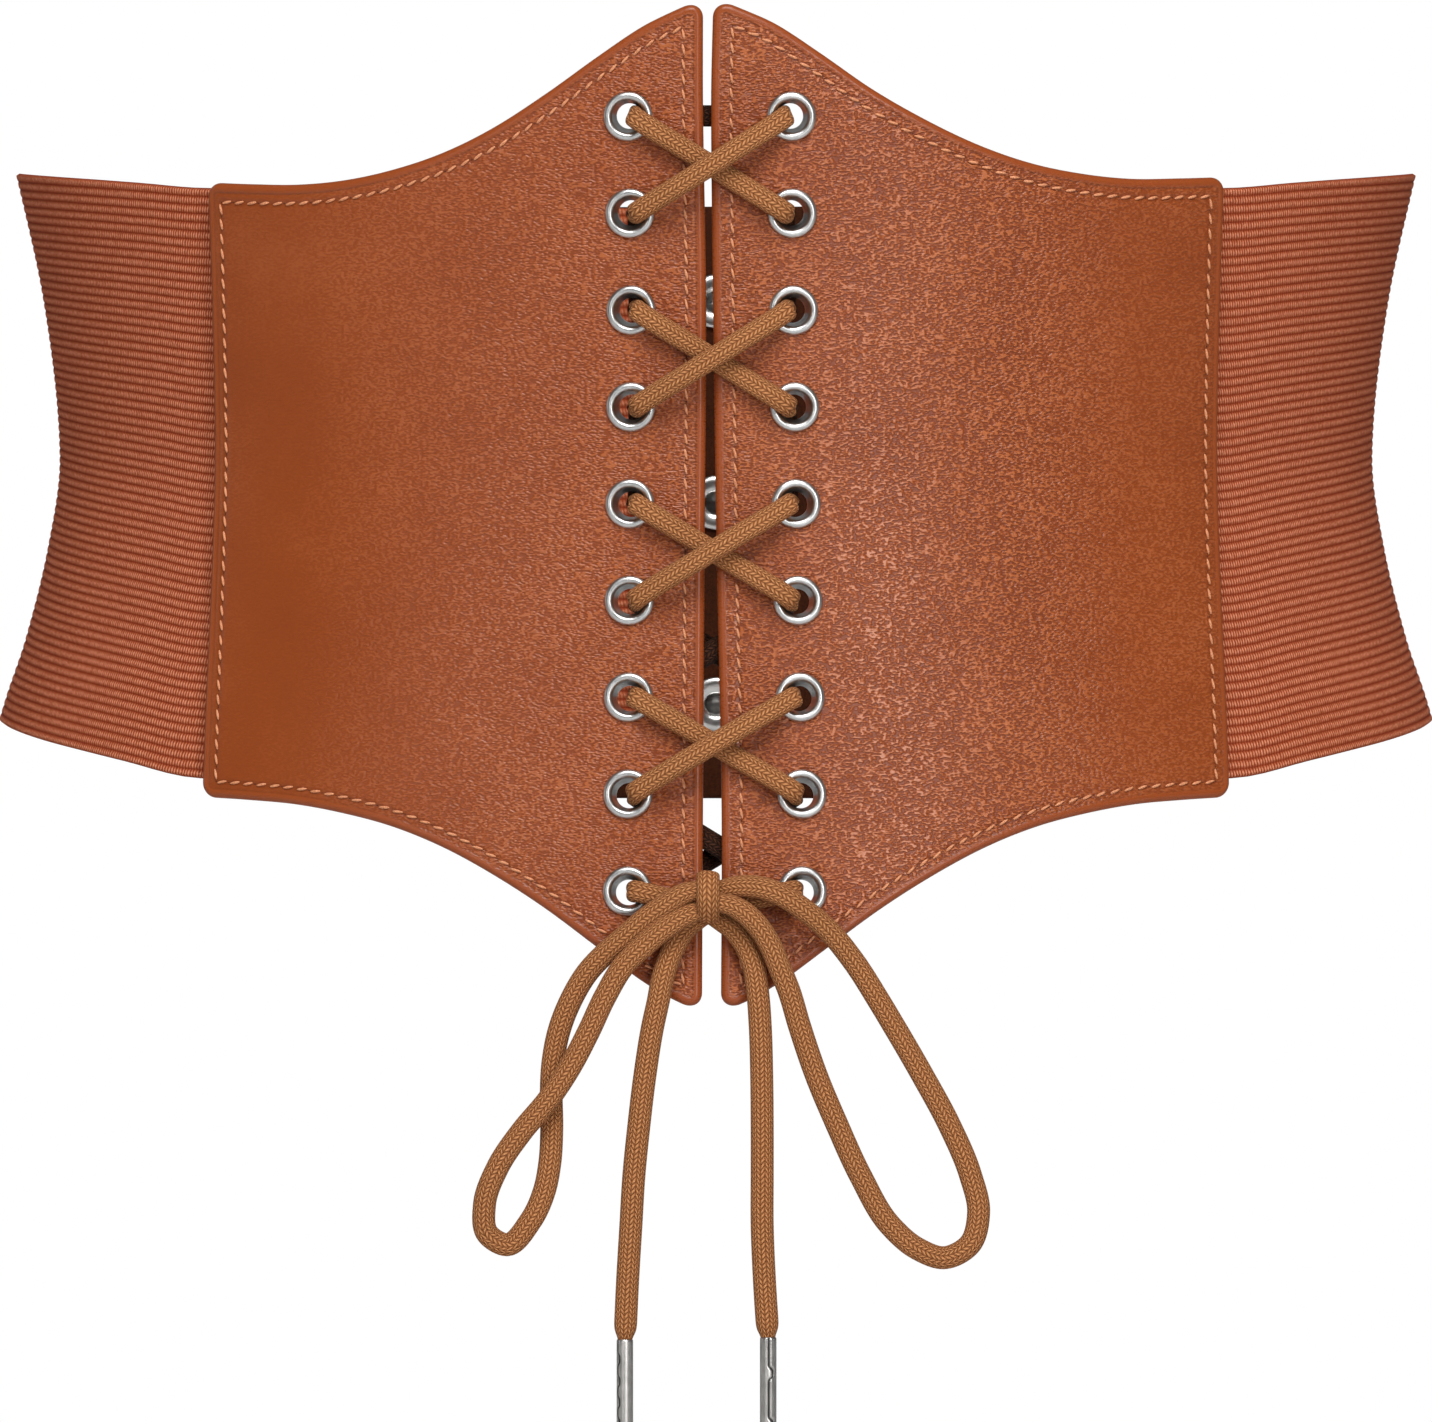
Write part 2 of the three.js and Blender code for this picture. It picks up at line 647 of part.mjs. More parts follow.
// The bow: a knot, two loops and two hanging ends with metal aglets.
function makeBow() {
  const bow = new THREE.Group();
  bow.position.copy(knotPlace);
  belt.add(bow);
  const routes = [
    { name: 'lace_loop_left', route: leftLoopRoute },
    { name: 'lace_loop_right', route: rightLoopRoute },
    { name: 'lace_tail_left', route: leftTailRoute },
    { name: 'lace_tail_right', route: rightTailRoute },
  ];
  const stepLength = 2.5 * laceDiameter;
  for (const { name, route } of routes) {
    const points = route.map(([right, above, ahead]) => new THREE.Vector3(right, -ahead, above));
    const curve = new THREE.CatmullRomCurve3(points);
    const steps = Math.round(curve.getLength() / stepLength);
    addMesh(name, new THREE.ExtrudeGeometry(laceSection(), { steps, extrudePath: curve }), braid, bow);
  }
  const round = knotWidth * 0.35;
  const outline = new THREE.Shape();
  outline.absellipse(0, 0, knotDepth / 2 - round * 0.5, knotHeight / 2 - round * 0.5, 0, 2 * Math.PI);
  const knot = new THREE.ExtrudeGeometry(outline, {
    depth: knotWidth - round,
    curveSegments: 7,
    bevelThickness: round * 0.5,
    bevelSize: round * 0.5,
    bevelSegments: 1,
  });
  knot.translate(0, 0, -(knotWidth - round) / 2);
  knot.rotateX(Math.PI / 2);
  knot.rotateZ(Math.PI / 2);
  const knotMesh = addMesh('lace_knot', knot, braid, bow);
  knotMesh.position.set(0, -knotDepth / 2 - clearance, 0);
  const radius = agletDiameter / 2;
  const agletProfile = [
    [0, 0],
    [radius * 0.8, 0],
    [radius, radius * 0.3],
    [radius, agletLength - radius * 0.3],
    [radius * 0.8, agletLength],
    [0, agletLength],
  ].map(([distance, height]) => new THREE.Vector2(distance, height));
  const ends = [
    { name: 'aglet_left', route: leftTailRoute },
    { name: 'aglet_right', route: rightTailRoute },
  ];
  for (const { name, route } of ends) {
    const [right, above, ahead] = route[route.length - 1];
    const aglet = addMesh(name, new THREE.LatheGeometry(agletProfile, 12), brightMetal, bow);
    aglet.rotation.x = Math.PI / 2;
    aglet.position.set(right, -ahead, above - clearance - agletLength);
  }
}

makeBow();

export default belt;
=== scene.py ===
from math import atan2, ceil, cos, exp, pi, radians, sin, sqrt

import bmesh
import bpy
from mathutils import Matrix, Vector
from mathutils.kdtree import KDTree


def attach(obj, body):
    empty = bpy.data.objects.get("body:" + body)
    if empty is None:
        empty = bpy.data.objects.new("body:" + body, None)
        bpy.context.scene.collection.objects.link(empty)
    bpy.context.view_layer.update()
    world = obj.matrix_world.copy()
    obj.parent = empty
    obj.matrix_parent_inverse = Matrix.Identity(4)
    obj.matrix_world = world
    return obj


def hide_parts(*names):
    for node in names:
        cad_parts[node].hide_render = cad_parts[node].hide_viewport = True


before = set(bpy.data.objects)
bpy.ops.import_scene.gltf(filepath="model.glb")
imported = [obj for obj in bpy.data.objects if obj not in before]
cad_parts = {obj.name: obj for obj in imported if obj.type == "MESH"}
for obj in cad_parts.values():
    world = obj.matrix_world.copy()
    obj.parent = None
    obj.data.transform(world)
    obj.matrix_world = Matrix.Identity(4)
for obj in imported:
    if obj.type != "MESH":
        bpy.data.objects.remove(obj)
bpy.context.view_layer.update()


# The view. The belt stands upright and is seen straight from the front with a long lens, so the
# picture is 286 mm wide where the front panels are.
view_width = 0.2864
view_distance = 4.0
view_middle = Vector((0, -0.098, -0.0522))
sensor_width = 36

camera_data = bpy.data.cameras.new("front_view")
camera_data.sensor_fit = "HORIZONTAL"
camera_data.sensor_width = sensor_width
camera_data.lens = sensor_width * view_distance / view_width
camera = bpy.data.objects.new("front_view", camera_data)
camera.location = view_middle - Vector((0, view_distance, 0))
camera.rotation_euler = (radians(90), 0, 0)
bpy.context.scene.collection.objects.link(camera)
bpy.context.scene.camera = camera


# The bow. One braided cord, oval in section, is tied in front of the last pair of eyelets: a
# knot, two loops and two ends that hang down into metal tubes. It lies on the worn form of the
# belt, an oval ring that is narrowest at the waistline and widens above and below it.
waist_width = 0.269
waist_depth = 0.190
side_height = 0.1248
joint_top = 0.055
peak_rise = 0.0341
point_drop = 0.0408
panel_top = joint_top + peak_rise
panel_bottom = joint_top - side_height - point_drop
panel_inside = 0.0005
panel_thickness = 0.0024
panel_face = panel_inside + panel_thickness

# A height as a share of the side's, and how many times the waistline's width and depth it has.
worn_form = [
    (-0.9, 1.2, 1.075),
    (-0.55, 1.122, 1.035),
    (-0.4, 1.083, 1.02),
    (-0.3, 1.052, 1.012),
    (-0.15, 1.018, 1.003),
    (0, 1, 1),
    (0.25, 1.024, 1.005),
    (0.5, 1.074, 1.018),
    (0.75, 1.12, 1.035),
]


def smooth_between(first, last, first_slope, last_slope, length, share):
    """A smooth curve's value at a share of the length between two known values."""
    square = share**2
    cube = share**3
    return (
        first * (2 * cube - 3 * square + 1)
        + first_slope * (length * (cube - 2 * square + share))
        + last * (3 * square - 2 * cube)
        + last_slope * (length * (cube - square))
    )


def read_table(rows, column, at):
    """A smooth curve through one column of a table, read at a value of its first column."""
    last = len(rows) - 1
    start = 0
    while start < last - 1 and rows[start + 1][0] < at:
        start += 1
    end = start + 1

    def slope(index):
        before, after = rows[max(index - 1, 0)], rows[min(index + 1, last)]
        return (after[column] - before[column]) / (after[0] - before[0])

    length = rows[end][0] - rows[start][0]
    share = (at - rows[start][0]) / length
    if share < 0:
        return rows[start][column] + slope(start) * share * length
    if share > 1:
        return rows[end][column] + slope(end) * (share - 1) * length
    return smooth_between(
        rows[start][column], rows[end][column], slope(start), slope(end), length, share
    )


def form_ring(height, proud):
    level = height / side_height
    half_width = waist_width / 2 * read_table(worn_form, 1, level) + proud
    half_depth = waist_depth / 2 * read_table(worn_form, 2, level) + proud
    return half_width, half_depth


def form_point(turn, height, proud):
    half_width, half_depth = form_ring(height, proud)
    return Vector((half_width * sin(turn), -half_depth * cos(turn), height))


def turn_along(distance, height, proud, start_turn=0.0):
    """The turn at a distance along the form, from the centre front or the centre back."""
    half_width, half_depth = form_ring(height, proud)

    def rate(turn):
        return 1 / sqrt((half_width * cos(turn)) ** 2 + (half_depth * sin(turn)) ** 2)

    longest_step = 0.03
    steps = max(1, ceil(abs(distance) / longest_step))
    step = distance / steps
    turn = start_turn
    for _ in range(steps):
        first = rate(turn)
        second = rate(turn + first * step / 2)
        third = rate(turn + second * step / 2)
        fourth = rate(turn + third * step)
        turn += (first + 2 * second + 2 * third + fourth) * step / 6
    return turn


def form_normal(turn, height, proud):
    small = 0.0005
    sideways = form_point(turn + small, height, proud) - form_point(turn - small, height, proud)
    upward = form_point(turn, height + small, proud) - form_point(turn, height - small, proud)
    return sideways.cross(upward).normalized()


left_edge = -0.0026
# The gap between the panels in millimetres: a share from their upper tips down, how far its
# left edge bows aside, and its width.
front_gap = [
    (0, 0, 2), (0.1, 0, 1.6), (0.3, 0.6, 1.4), (0.55, 0.3, 2.4), (0.8, 0, 3.7), (1, -0.2, 3.8),
]


def front_edge(side, height):
    """The front edge of each panel, at its distance right of the centre front."""
    down = (panel_top - height) / (panel_top - panel_bottom)
    left = left_edge + read_table(front_gap, 1, down) / 1000
    return left if side == "left" else left + read_table(front_gap, 2, down) / 1000


row_count = 9
tip_to_eyelet = 0.0224
row_pitch = (panel_top - panel_bottom - 2 * tip_to_eyelet) / (row_count - 1)


def row_height(row):
    return panel_top - tip_to_eyelet - row_pitch * (row - 1)


knot_shift = 0.0008
knot_drop = 0.0011
knot_height = row_height(row_count) - knot_drop
knot_place = form_point(0, knot_height, panel_face)
knot_place.x = (
    front_edge("left", row_height(row_count)) + front_edge("right", row_height(row_count))
) / 2 - knot_shift


def distances_along(places):
    travelled = [0.0]
    for before, after in zip(places, places[1:]):
        travelled.append(travelled[-1] + (after - before).length)
    return travelled


def even_steps(travelled, count):
    """Even steps along a line of places: which place comes before each, and the share past it."""
    at = 0
    for index in range(count + 1):
        wanted = travelled[-1] * index / count
        while at < len(travelled) - 2 and travelled[at + 1] < wanted:
            at += 1
        yield at, (wanted - travelled[at]) / max(travelled[at + 1] - travelled[at], 1e-9)


def smooth_path(points, widths, step):
    """Points at even steps along a smooth curve, each with the direction of the cord's width."""
    last = len(points) - 1
    lengths = [(points[index + 1] - points[index]).length for index in range(last)]

    def slope(values, index):
        if index == 0:
            return (values[1] - values[0]) / lengths[0]
        if index == last:
            return (values[last] - values[last - 1]) / lengths[last - 1]
        before, after = lengths[index - 1], lengths[index]
        arriving = (values[index] - values[index - 1]) / before
        leaving = (values[index + 1] - values[index]) / after
        return (arriving * after + leaving * before) / (before + after)

    fine = []
    for index in range(last):
        count = max(2, ceil(lengths[index] / (step / 4)))
        for part in range(count):
            fine.append([
                smooth_between(
                    values[index], values[index + 1], slope(values, index),
                    slope(values, index + 1), lengths[index], part / count,
                )
                for values in (points, widths)
            ])
    fine.append([points[last].copy(), widths[last].copy()])

    travelled = distances_along([place for place, _ in fine])
    total = travelled[-1]
    path = []
    for at, share in even_steps(travelled, max(2, round(total / step))):
        place = fine[at][0].lerp(fine[at + 1][0], share)
        width = fine[at][1].lerp(fine[at + 1][1], share)
        path.append((place, width))
    return path, total


def mound(distance, middle, spread):
    """A soft rise: 1 at its middle, and next to nothing at twice its spread."""
    return exp(-(((distance - middle) / spread) ** 2))


lace_width = 0.0046
lace_thickness = 0.0031
lace_step = 0.0005
lace_sides = 24
lace_roundness = 0.76
# The map's girth is a whole number of these steps.
girth_step = 0.0011
# How much thinner the cord is where the knot squeezes it, and how far that reaches along it.
knot_pinch = 0.2
knot_pinch_reach = 0.0045
metal_pinch_reach = 0.0017


def cord_shares(distance, total, narrow, pinched):
    """How much of its width and thickness the cord has where it is squeezed near its ends."""
    share = 1.0
    from_end = max(total - distance, 0)
    if narrow:
        share = 1 - (1 - narrow) * mound(from_end, 0, metal_pinch_reach)
    if "start" in pinched:
        share *= 1 - knot_pinch * mound(distance, 0, knot_pinch_reach)
    if "end" in pinched:
        share *= 1 - knot_pinch * mound(from_end, 0, knot_pinch_reach)
    return share


def flattened(share):
    """Makes the oval's sides flatter and its corners fuller."""
    return abs(share) ** lace_roundness * (1 if share > 0 else -1)


def mesh_object(mesh, name):
    data = bpy.data.meshes.new(name)
    mesh.to_mesh(data)
    mesh.free()
    made_object = bpy.data.objects.new(name, data)
    bpy.context.scene.collection.objects.link(made_object)
    return made_object


def stand_in(piece, node_names):
    """A piece rides on the belt's one body and stands for its CAD nodes."""
    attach(piece, "root")
    if node_names:
        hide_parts(*node_names)


def braided_cord(
    name, points, widths, size=(lace_width, lace_thickness), narrow=None, pinched=(),
):
    """An oval cord along a smooth path, with a map in metres: across its girth and along it."""
    path, total = smooth_path(points, widths, lace_step)
    count = len(path) - 1
    mesh = bmesh.new()
    uv_layer = mesh.loops.layers.uv.new("cord_map")
    made = bmesh.ops.create_grid(mesh, x_segments=lace_sides, y_segments=count, size=0.5)
    mesh.verts.ensure_lookup_table()
    girth = pi * (size[0] + size[1]) / 2
    girth = round(girth / girth_step) * girth_step
    places = {}
    for index, vert in enumerate(made["verts"]):
        around = index % (lace_sides + 1)
        along = index // (lace_sides + 1)
        before = path[max(along - 1, 0)][0]
        after = path[min(along + 1, count)][0]
        direction = (after - before).normalized()
        place, width = path[along]
        sideways = (width - direction * width.dot(direction)).normalized()
        outward = direction.cross(sideways)
        share = cord_shares(total * along / count, total, narrow, pinched)
        angle = -2 * pi * around / lace_sides
        breadth = flattened(cos(angle)) * size[0] / 2
        depth = flattened(sin(angle)) * size[1] / 2
        vert.co = place + (sideways * breadth + outward * depth) * share
        places[vert] = (girth * around / lace_sides, total * along / count)
    for face in mesh.faces:
        face.smooth = True
        for loop in face.loops:
            loop[uv_layer].uv = places[loop.vert]
    bmesh.ops.remove_doubles(mesh, verts=mesh.verts[:], dist=1e-7)
    open_ends = [edge for edge in mesh.edges if edge.is_boundary]
    bmesh.ops.holes_fill(mesh, edges=open_ends, sides=0)
    bmesh.ops.recalc_face_normals(mesh, faces=mesh.faces[:])
    return mesh_object(mesh, name), [place for place, _ in path], total


def new_material(name):
    """A material with its node tree, its shader and the coordinates of the piece it is on."""
    material = bpy.data.materials.new(name)
    material.use_nodes = True
    tree = material.node_tree
    coordinates = tree.nodes.new("ShaderNodeTexCoord")
    return material, tree, tree.nodes["Principled BSDF"], coordinates


def new_group(name, inputs, outputs):
    """A node group with its named inputs and outputs, each a name and a kind of socket."""
    group = bpy.data.node_groups.new(name, "ShaderNodeTree")
    for way, sockets in (("INPUT", inputs), ("OUTPUT", outputs)):
        for socket_name, kind in sockets:
            group.interface.new_socket(
                socket_name, in_out=way, socket_type=f"NodeSocket{kind}"
            )
    entry = group.nodes.new("NodeGroupInput")
    leaving = group.nodes.new("NodeGroupOutput")
    return group, entry.outputs, leaving.inputs


def place_group(tree, group):
    node = tree.nodes.new("ShaderNodeGroup")
    node.node_tree = group
    return node


def set_socket(tree, socket, value):
    if isinstance(value, bpy.types.NodeSocket):
        tree.links.new(value, socket)
    elif value is not None:
        socket.default_value = value


def math_node(tree, operation, first, second=None, third=None, clamp=False):
    node = tree.nodes.new("ShaderNodeMath")
    node.operation = operation
    node.use_clamp = clamp
    for socket, value in zip(node.inputs, (first, second, third)):
        set_socket(tree, socket, value)
    return node.outputs[0]


def colour_ramp(tree, factor, stops):
    node = tree.nodes.new("ShaderNodeValToRGB")
    elements = node.color_ramp.elements
    while len(elements) < len(stops):
        elements.new(0.5)
    for element, (position, colour) in zip(elements, stops):
        element.position = position
        element.color = (*colour, 1)
    tree.links.new(factor, node.inputs[0])
    return node.outputs[0]


def from_photo(red, green, blue):
    """A colour as it looks on a screen, turned into the light that a shader works with."""
    return tuple(((value / 255 + 0.055) / 1.055) ** 2.4 for value in (red, green, blue))


def noise(tree, vector, scale, detail=3):
    node = tree.nodes.new("ShaderNodeTexNoise")
    set_socket(tree, node.inputs["Scale"], scale)
    node.inputs["Detail"].default_value = detail
    node.inputs["Roughness"].default_value = 0.55
    tree.links.new(vector, node.inputs["Vector"])
    return node.outputs[0]


def bump(tree, height, distance, strength=1.0):
    node = tree.nodes.new("ShaderNodeBump")
    node.inputs["Distance"].default_value = distance
    node.inputs["Strength"].default_value = strength
    tree.links.new(height, node.inputs["Height"])
    return node.outputs[0]


strand_width = 0.00056
strand_pitch = 0.001
strand_wobble = strand_pitch * 0.5


def braid_group():
    """The braid's slanted strands, in columns that lean in turn to the left and to the right."""
    tree, entry, leaving = new_group(
        "slanted_braid", [("Place", "Vector"), ("Map", "Vector")],
        [("Height", "Float"), ("Shade", "Float")],
    )
    split = tree.nodes.new("ShaderNodeSeparateXYZ")
    tree.links.new(entry["Map"], split.inputs[0])
    wobble = noise(tree, entry["Place"], 700, 2)
    along = math_node(tree, "MULTIPLY_ADD", wobble, strand_wobble, split.outputs[1])
    column = math_node(tree, "DIVIDE", split.outputs[0], strand_width)
    whole = math_node(tree, "FLOOR", column)
    across = math_node(tree, "SUBTRACT", column, whole)
    odd = math_node(tree, "MODULO", whole, 2.0)
    lean = math_node(tree, "MULTIPLY_ADD", odd, 2.0, -1.0)
    centred = math_node(tree, "SUBTRACT", across, 0.5)
    slant = math_node(tree, "MULTIPLY", centred, lean)
    position = math_node(tree, "DIVIDE", along, strand_pitch)
    position = math_node(tree, "MULTIPLY_ADD", slant, 1.0, position)
    tick = math_node(tree, "FRACT", position)
    tick_arch = math_node(tree, "SINE", math_node(tree, "MULTIPLY", tick, pi))
    tick_arch = math_node(tree, "POWER", tick_arch, 0.7)
    side_arch = math_node(tree, "SINE", math_node(tree, "MULTIPLY", across, pi))
    side_arch = math_node(tree, "POWER", side_arch, 0.45)
    height = math_node(tree, "MULTIPLY", tick_arch, side_arch)
    fibre = noise(tree, entry["Place"], 5200, 2)
    height_with_fibre = math_node(tree, "MULTIPLY_ADD", fibre, 0.25, height)
    # The shade is darker in the gaps between strands and at their sides: painted shade, with
    # painted highlight on their tops.
    dimmed = math_node(tree, "MULTIPLY", height, 0.85)
    shade = math_node(tree, "MULTIPLY_ADD", fibre, 0.3, dimmed)
    tree.links.new(height_with_fibre, leaving["Height"])
    tree.links.new(shade, leaving["Shade"])
    return tree


slanted_braid = braid_group()


def lace_material(name, shades):
    material, tree, shader, coordinates = new_material(name)
    braid = place_group(tree, slanted_braid)
    tree.links.new(coordinates.outputs["Object"], braid.inputs["Place"])
    tree.links.new(coordinates.outputs["UV"], braid.inputs["Map"])
    # The ramp runs from the painted shade of the gaps to a painted highlight on the strands' tops.
    stops = zip((0.12, 0.5, 0.8, 1.0), shades)
    colour = colour_ramp(tree, braid.outputs["Shade"], list(stops))
    tree.links.new(colour, shader.inputs["Base Color"])
    shader.inputs["Roughness"].default_value = 0.75
    shader.inputs["Specular IOR Level"].default_value = 0.2
    tree.links.new(bump(tree, braid.outputs["Height"], 0.0002), shader.inputs["Normal"])
    return material


# The darkest colour is the painted shade in the braid's gaps, the lightest its painted highlight.
lace_look = lace_material("lace_braid", [
    from_photo(96, 50, 23), from_photo(150, 93, 52), from_photo(181, 119, 72),
    from_photo(211, 149, 98),
])


def bow_points(route):
    """A route's points, given in millimetres right of, above and in front of the knot."""
    return [knot_place + Vector((right, -ahead, above)) / 1000 for right, above, ahead in route]


def flat_widths(points):
    """The cord lies flat, so its width is square to its way and in the picture's plane."""
    widths = []
    last = len(points) - 1
    for index in range(last + 1):
        way = points[min(index + 1, last)] - points[max(index - 1, 0)]
        widths.append(Vector((way.z, 0, -way.x)).normalized())
    return widths


left_loop_route = [
    (-2.9, 1.2, 6.8), (-4.5, 0.8, 6.8), (-8.5, -1.6, 6.4), (-12.3, -4.2, 5.7),
    (-16.2, -7.6, 5.0), (-20.2, -11.0, 4.2), (-24.0, -15.0, 3.4), (-27.4, -20.7, 2.9),
    (-29.7, -26.6, 2.7), (-31.0, -33.4, 2.6), (-31.3, -39.2, 2.6), (-31.2, -46.2, 2.8),
    (-31.6, -53.2, 3.2), (-32.6, -58.4, 3.7), (-35.4, -64.6, 4.3), (-40.2, -69.4, 4.8),
    (-44.0, -67.2, 5.4), (-44.6, -61.4, 6.0), (-42.0, -54.0, 6.5), (-37.2, -46.8, 6.7),
    (-32.0, -40.6, 6.7), (-27.7, -34.2, 6.6), (-23.8, -26.8, 6.5), (-20.5, -19.8, 6.5),
    (-16.9, -13.8, 6.6), (-12.9, -9.8, 6.7), (-8.8, -6.4, 6.7), (-4.6, -3.8, 6.7),
    (-2.9, -3.1, 6.7),
]
right_loop_route = [
    (2.9, 1.5, 4.8), (4.2, 1.8, 5.1), (8.4, 2.1, 6.1), (12.0, 1.5, 6.8), (14.6, 0.4, 6.8),
    (19.2, -2.6, 6.0), (24.2, -6.9, 4.4), (29.0, -12.8, 3.2), (34.0, -20.6, 2.8),
    (37.0, -25.6, 2.7), (42.8, -35.6, 2.6), (48.2, -45.6, 2.6), (52.4, -55.6, 2.8),
    (54.0, -63.0, 3.1), (52.2, -69.4, 3.5), (47.2, -72.0, 3.9), (41.8, -70.2, 4.2),
    (36.4, -65.6, 4.5),
    (30.4, -55.6, 5.0), (25.8, -45.6, 5.4), (21.6, -35.6, 5.8), (18.2, -25.6, 6.1),
    (16.1, -18.6, 6.4), (14.4, -14.4, 6.6), (12.4, -9.6, 6.8), (9.8, -5.6, 7.0),
    (6.8, -2.8, 7.2), (4.2, -1.5, 7.3), (2.9, -1.2, 7.3),
]
left_tail_route = [
    (-2.9, -5.3, 3.0), (-4.2, -6.2, 3.0), (-6.2, -8.9, 3.3), (-7.8, -12.3, 3.8),
    (-9.1, -16.4, 4.3), (-9.9, -20.6, 4.6), (-11.0, -25.6, 4.7), (-12.6, -35.6, 4.7),
    (-13.8, -45.6, 4.7), (-14.8, -55.6, 4.7), (-15.4, -65.6, 4.7), (-16.0, -75.6, 4.7),
    (-16.6, -88.6, 4.7),
]
right_tail_route = [
    (2.9, -5.2, 3.0), (4.4, -6.1, 3.0), (6.9, -8.8, 3.3), (8.8, -12.8, 3.9), (10.0, -20.0, 4.6),
    (10.4, -25.6, 4.7), (10.7, -35.6, 4.7), (10.8, -45.6, 4.7), (10.8, -55.6, 4.7),
    (10.8, -65.6, 4.7), (11.2, -75.6, 4.7), (12.0, -88.2, 4.7),
]

# Inside the knot each strand runs on to the middle, where the wrap hides it.
hidden_end = {
    "lace_loop_left": ([(-0.5, 1.2, 6.2)], [(-0.4, -2.5, 6.1)]),
    "lace_loop_right": ([(0.5, 1.2, 4.3)], [(0.4, -1.0, 6.8)]),
    "lace_tail_left": ([(-0.9, -3.9, 3.0)], []),
    "lace_tail_right": ([(0.9, -3.9, 3.0)], []),
}
bow_routes = {
    "lace_loop_left": left_loop_route,
    "lace_loop_right": right_loop_route,
    "lace_tail_left": left_tail_route,
    "lace_tail_right": right_tail_route,
}


aglet_squeeze = 0.62


def lay_cord(node_name, far_end):
    """A loop ends in the knot again, and a tail ends in its metal tube."""
    before, after = hidden_end[node_name]
    points = bow_points(before + bow_routes[node_name] + after)
    piece, path, length = braided_cord(
        node_name.replace("lace", "braid"), points, flat_widths(points),
        narrow=aglet_squeeze if far_end == "fitting" else None,
        pinched=("start",) if far_end == "fitting" else ("start", "end"),
    )
    piece.data.materials.append(lace_look)
    stand_in(piece, [node_name])


lay_cord("lace_loop_left", "object")
lay_cord("lace_loop_right", "object")


# The knot's wrap: the same cord, turned once over the front of the crossing strands, with its
# braid running up and down. Its two ends go under behind.
wrap_width = 0.0047
wrap_thickness = 0.0024
wrap_middle_ahead = 4.7
wrap_half_depth = 3.9
wrap_half_height = 4.1
wrap_tilt = 0.06

wrap_points = []
wrap_widths = []
for degrees in range(-150, 151, 15):
    angle = radians(degrees)
    ahead = wrap_middle_ahead + wrap_half_depth * cos(angle)
    above = wrap_half_height * sin(angle)
    wrap_points.append(knot_place + Vector((0, -ahead, above)) / 1000)
    wrap_widths.append(Vector((-1, 0, wrap_tilt)))
knot_wrap, _, _ = braided_cord(
    "braid_knot", wrap_points, wrap_widths, (wrap_width, wrap_thickness)
)
knot_wrap.data.materials.append(lace_look)
stand_in(knot_wrap, ["lace_knot"])


# The aglets: a strip of bright metal is rolled round each end of the lace and pinched shut, so
# it shows a seam down its length and small bent teeth.
aglet_radius = 0.00165
aglet_length = 0.023
aglet_gap = 0.0003


def mix_colours(tree, factor, first, second, blend="MIX"):
    node = tree.nodes.new("ShaderNodeMix")
    node.data_type = "RGBA"
    node.blend_type = blend
    for socket, value in (("Factor", factor), ("A", first), ("B", second)):
        set_socket(tree, node.inputs[socket], value)
    return node.outputs["Result"]


def attribute(tree, name):
    node = tree.nodes.new("ShaderNodeAttribute")
    node.attribute_name = name
    return node.outputs["Fac"]


def metal_group():
    """Handled metal: fine brushing, finer along one way where it is stretched, and soft wear."""
    tree, entry, leaving = new_group(
        "handled_metal", [("Place", "Vector"), ("Stretch", "Vector"), ("Fineness", "Float")],
        [("Brushing", "Float"), ("Wear", "Float")],
    )
    mapping = tree.nodes.new("ShaderNodeMapping")
    tree.links.new(entry["Place"], mapping.inputs["Vector"])
    tree.links.new(entry["Stretch"], mapping.inputs["Scale"])
    tree.links.new(noise(tree, mapping.outputs[0], entry["Fineness"], 4), leaving["Brushing"])
    tree.links.new(noise(tree, entry["Place"], 420), leaving["Wear"])
    return tree


handled_metal = metal_group()


def metal_material(name, colour, rough, fineness, stretch=(1, 1, 1), brush=0.35):
    material, tree, shader, coordinates = new_material(name)
    surface = place_group(tree, handled_metal)
    tree.links.new(coordinates.outputs["Object"], surface.inputs["Place"])
    surface.inputs["Stretch"].default_value = stretch
    surface.inputs["Fineness"].default_value = fineness
    wear = surface.outputs["Wear"]
    worn = tuple(value * 0.82 for value in colour)
    shade = colour_ramp(tree, wear, [(0.3, worn), (0.7, colour)])
    # Where the edges of a rolled tube meet, the gap is painted nearly black as shade.
    gap_shade_colour = (0.01, 0.009, 0.008, 1)
    mixed = mix_colours(tree, attribute(tree, "seam_gap"), shade, gap_shade_colour)
    tree.links.new(mixed, shader.inputs["Base Color"])
    roughness = math_node(tree, "MULTIPLY_ADD", wear, 0.16, rough - 0.08)
    tree.links.new(roughness, shader.inputs["Roughness"])
    shader.inputs["Metallic"].default_value = 1.0
    brushing = bump(tree, surface.outputs["Brushing"], 0.00002, brush)
    tree.links.new(brushing, shader.inputs["Normal"])
    return material


aglet_metal = metal_material("aglet_metal", (0.74, 0.72, 0.69), 0.33, 500, (1, 1, 0.1), 0.02)


def spun(mesh, profile, axis_place, axis, start, steps):
    """A profile of (radius, height) points turned round an axis that stands at a place."""
    sideways = (start - axis * start.dot(axis)).normalized()
    verts = [
        mesh.verts.new(axis_place + sideways * radius + axis * height)
        for radius, height in profile
    ]
    edges = [mesh.edges.new(pair) for pair in zip(verts, verts[1:])]
    bmesh.ops.spin(
        mesh, geom=verts + edges, cent=axis_place, axis=axis, angle=2 * pi, steps=steps,
        use_merge=True,
    )


def finished(mesh, name, material, node_names):
    """A bmesh becomes a smooth closed piece in its material."""
    bmesh.ops.remove_doubles(mesh, verts=mesh.verts[:], dist=1e-7)
    bmesh.ops.recalc_face_normals(mesh, faces=mesh.faces[:])
    for face in mesh.faces:
        face.smooth = True
    piece = mesh_object(mesh, name)
    piece.data.materials.append(material)
    stand_in(piece, node_names)
    return piece


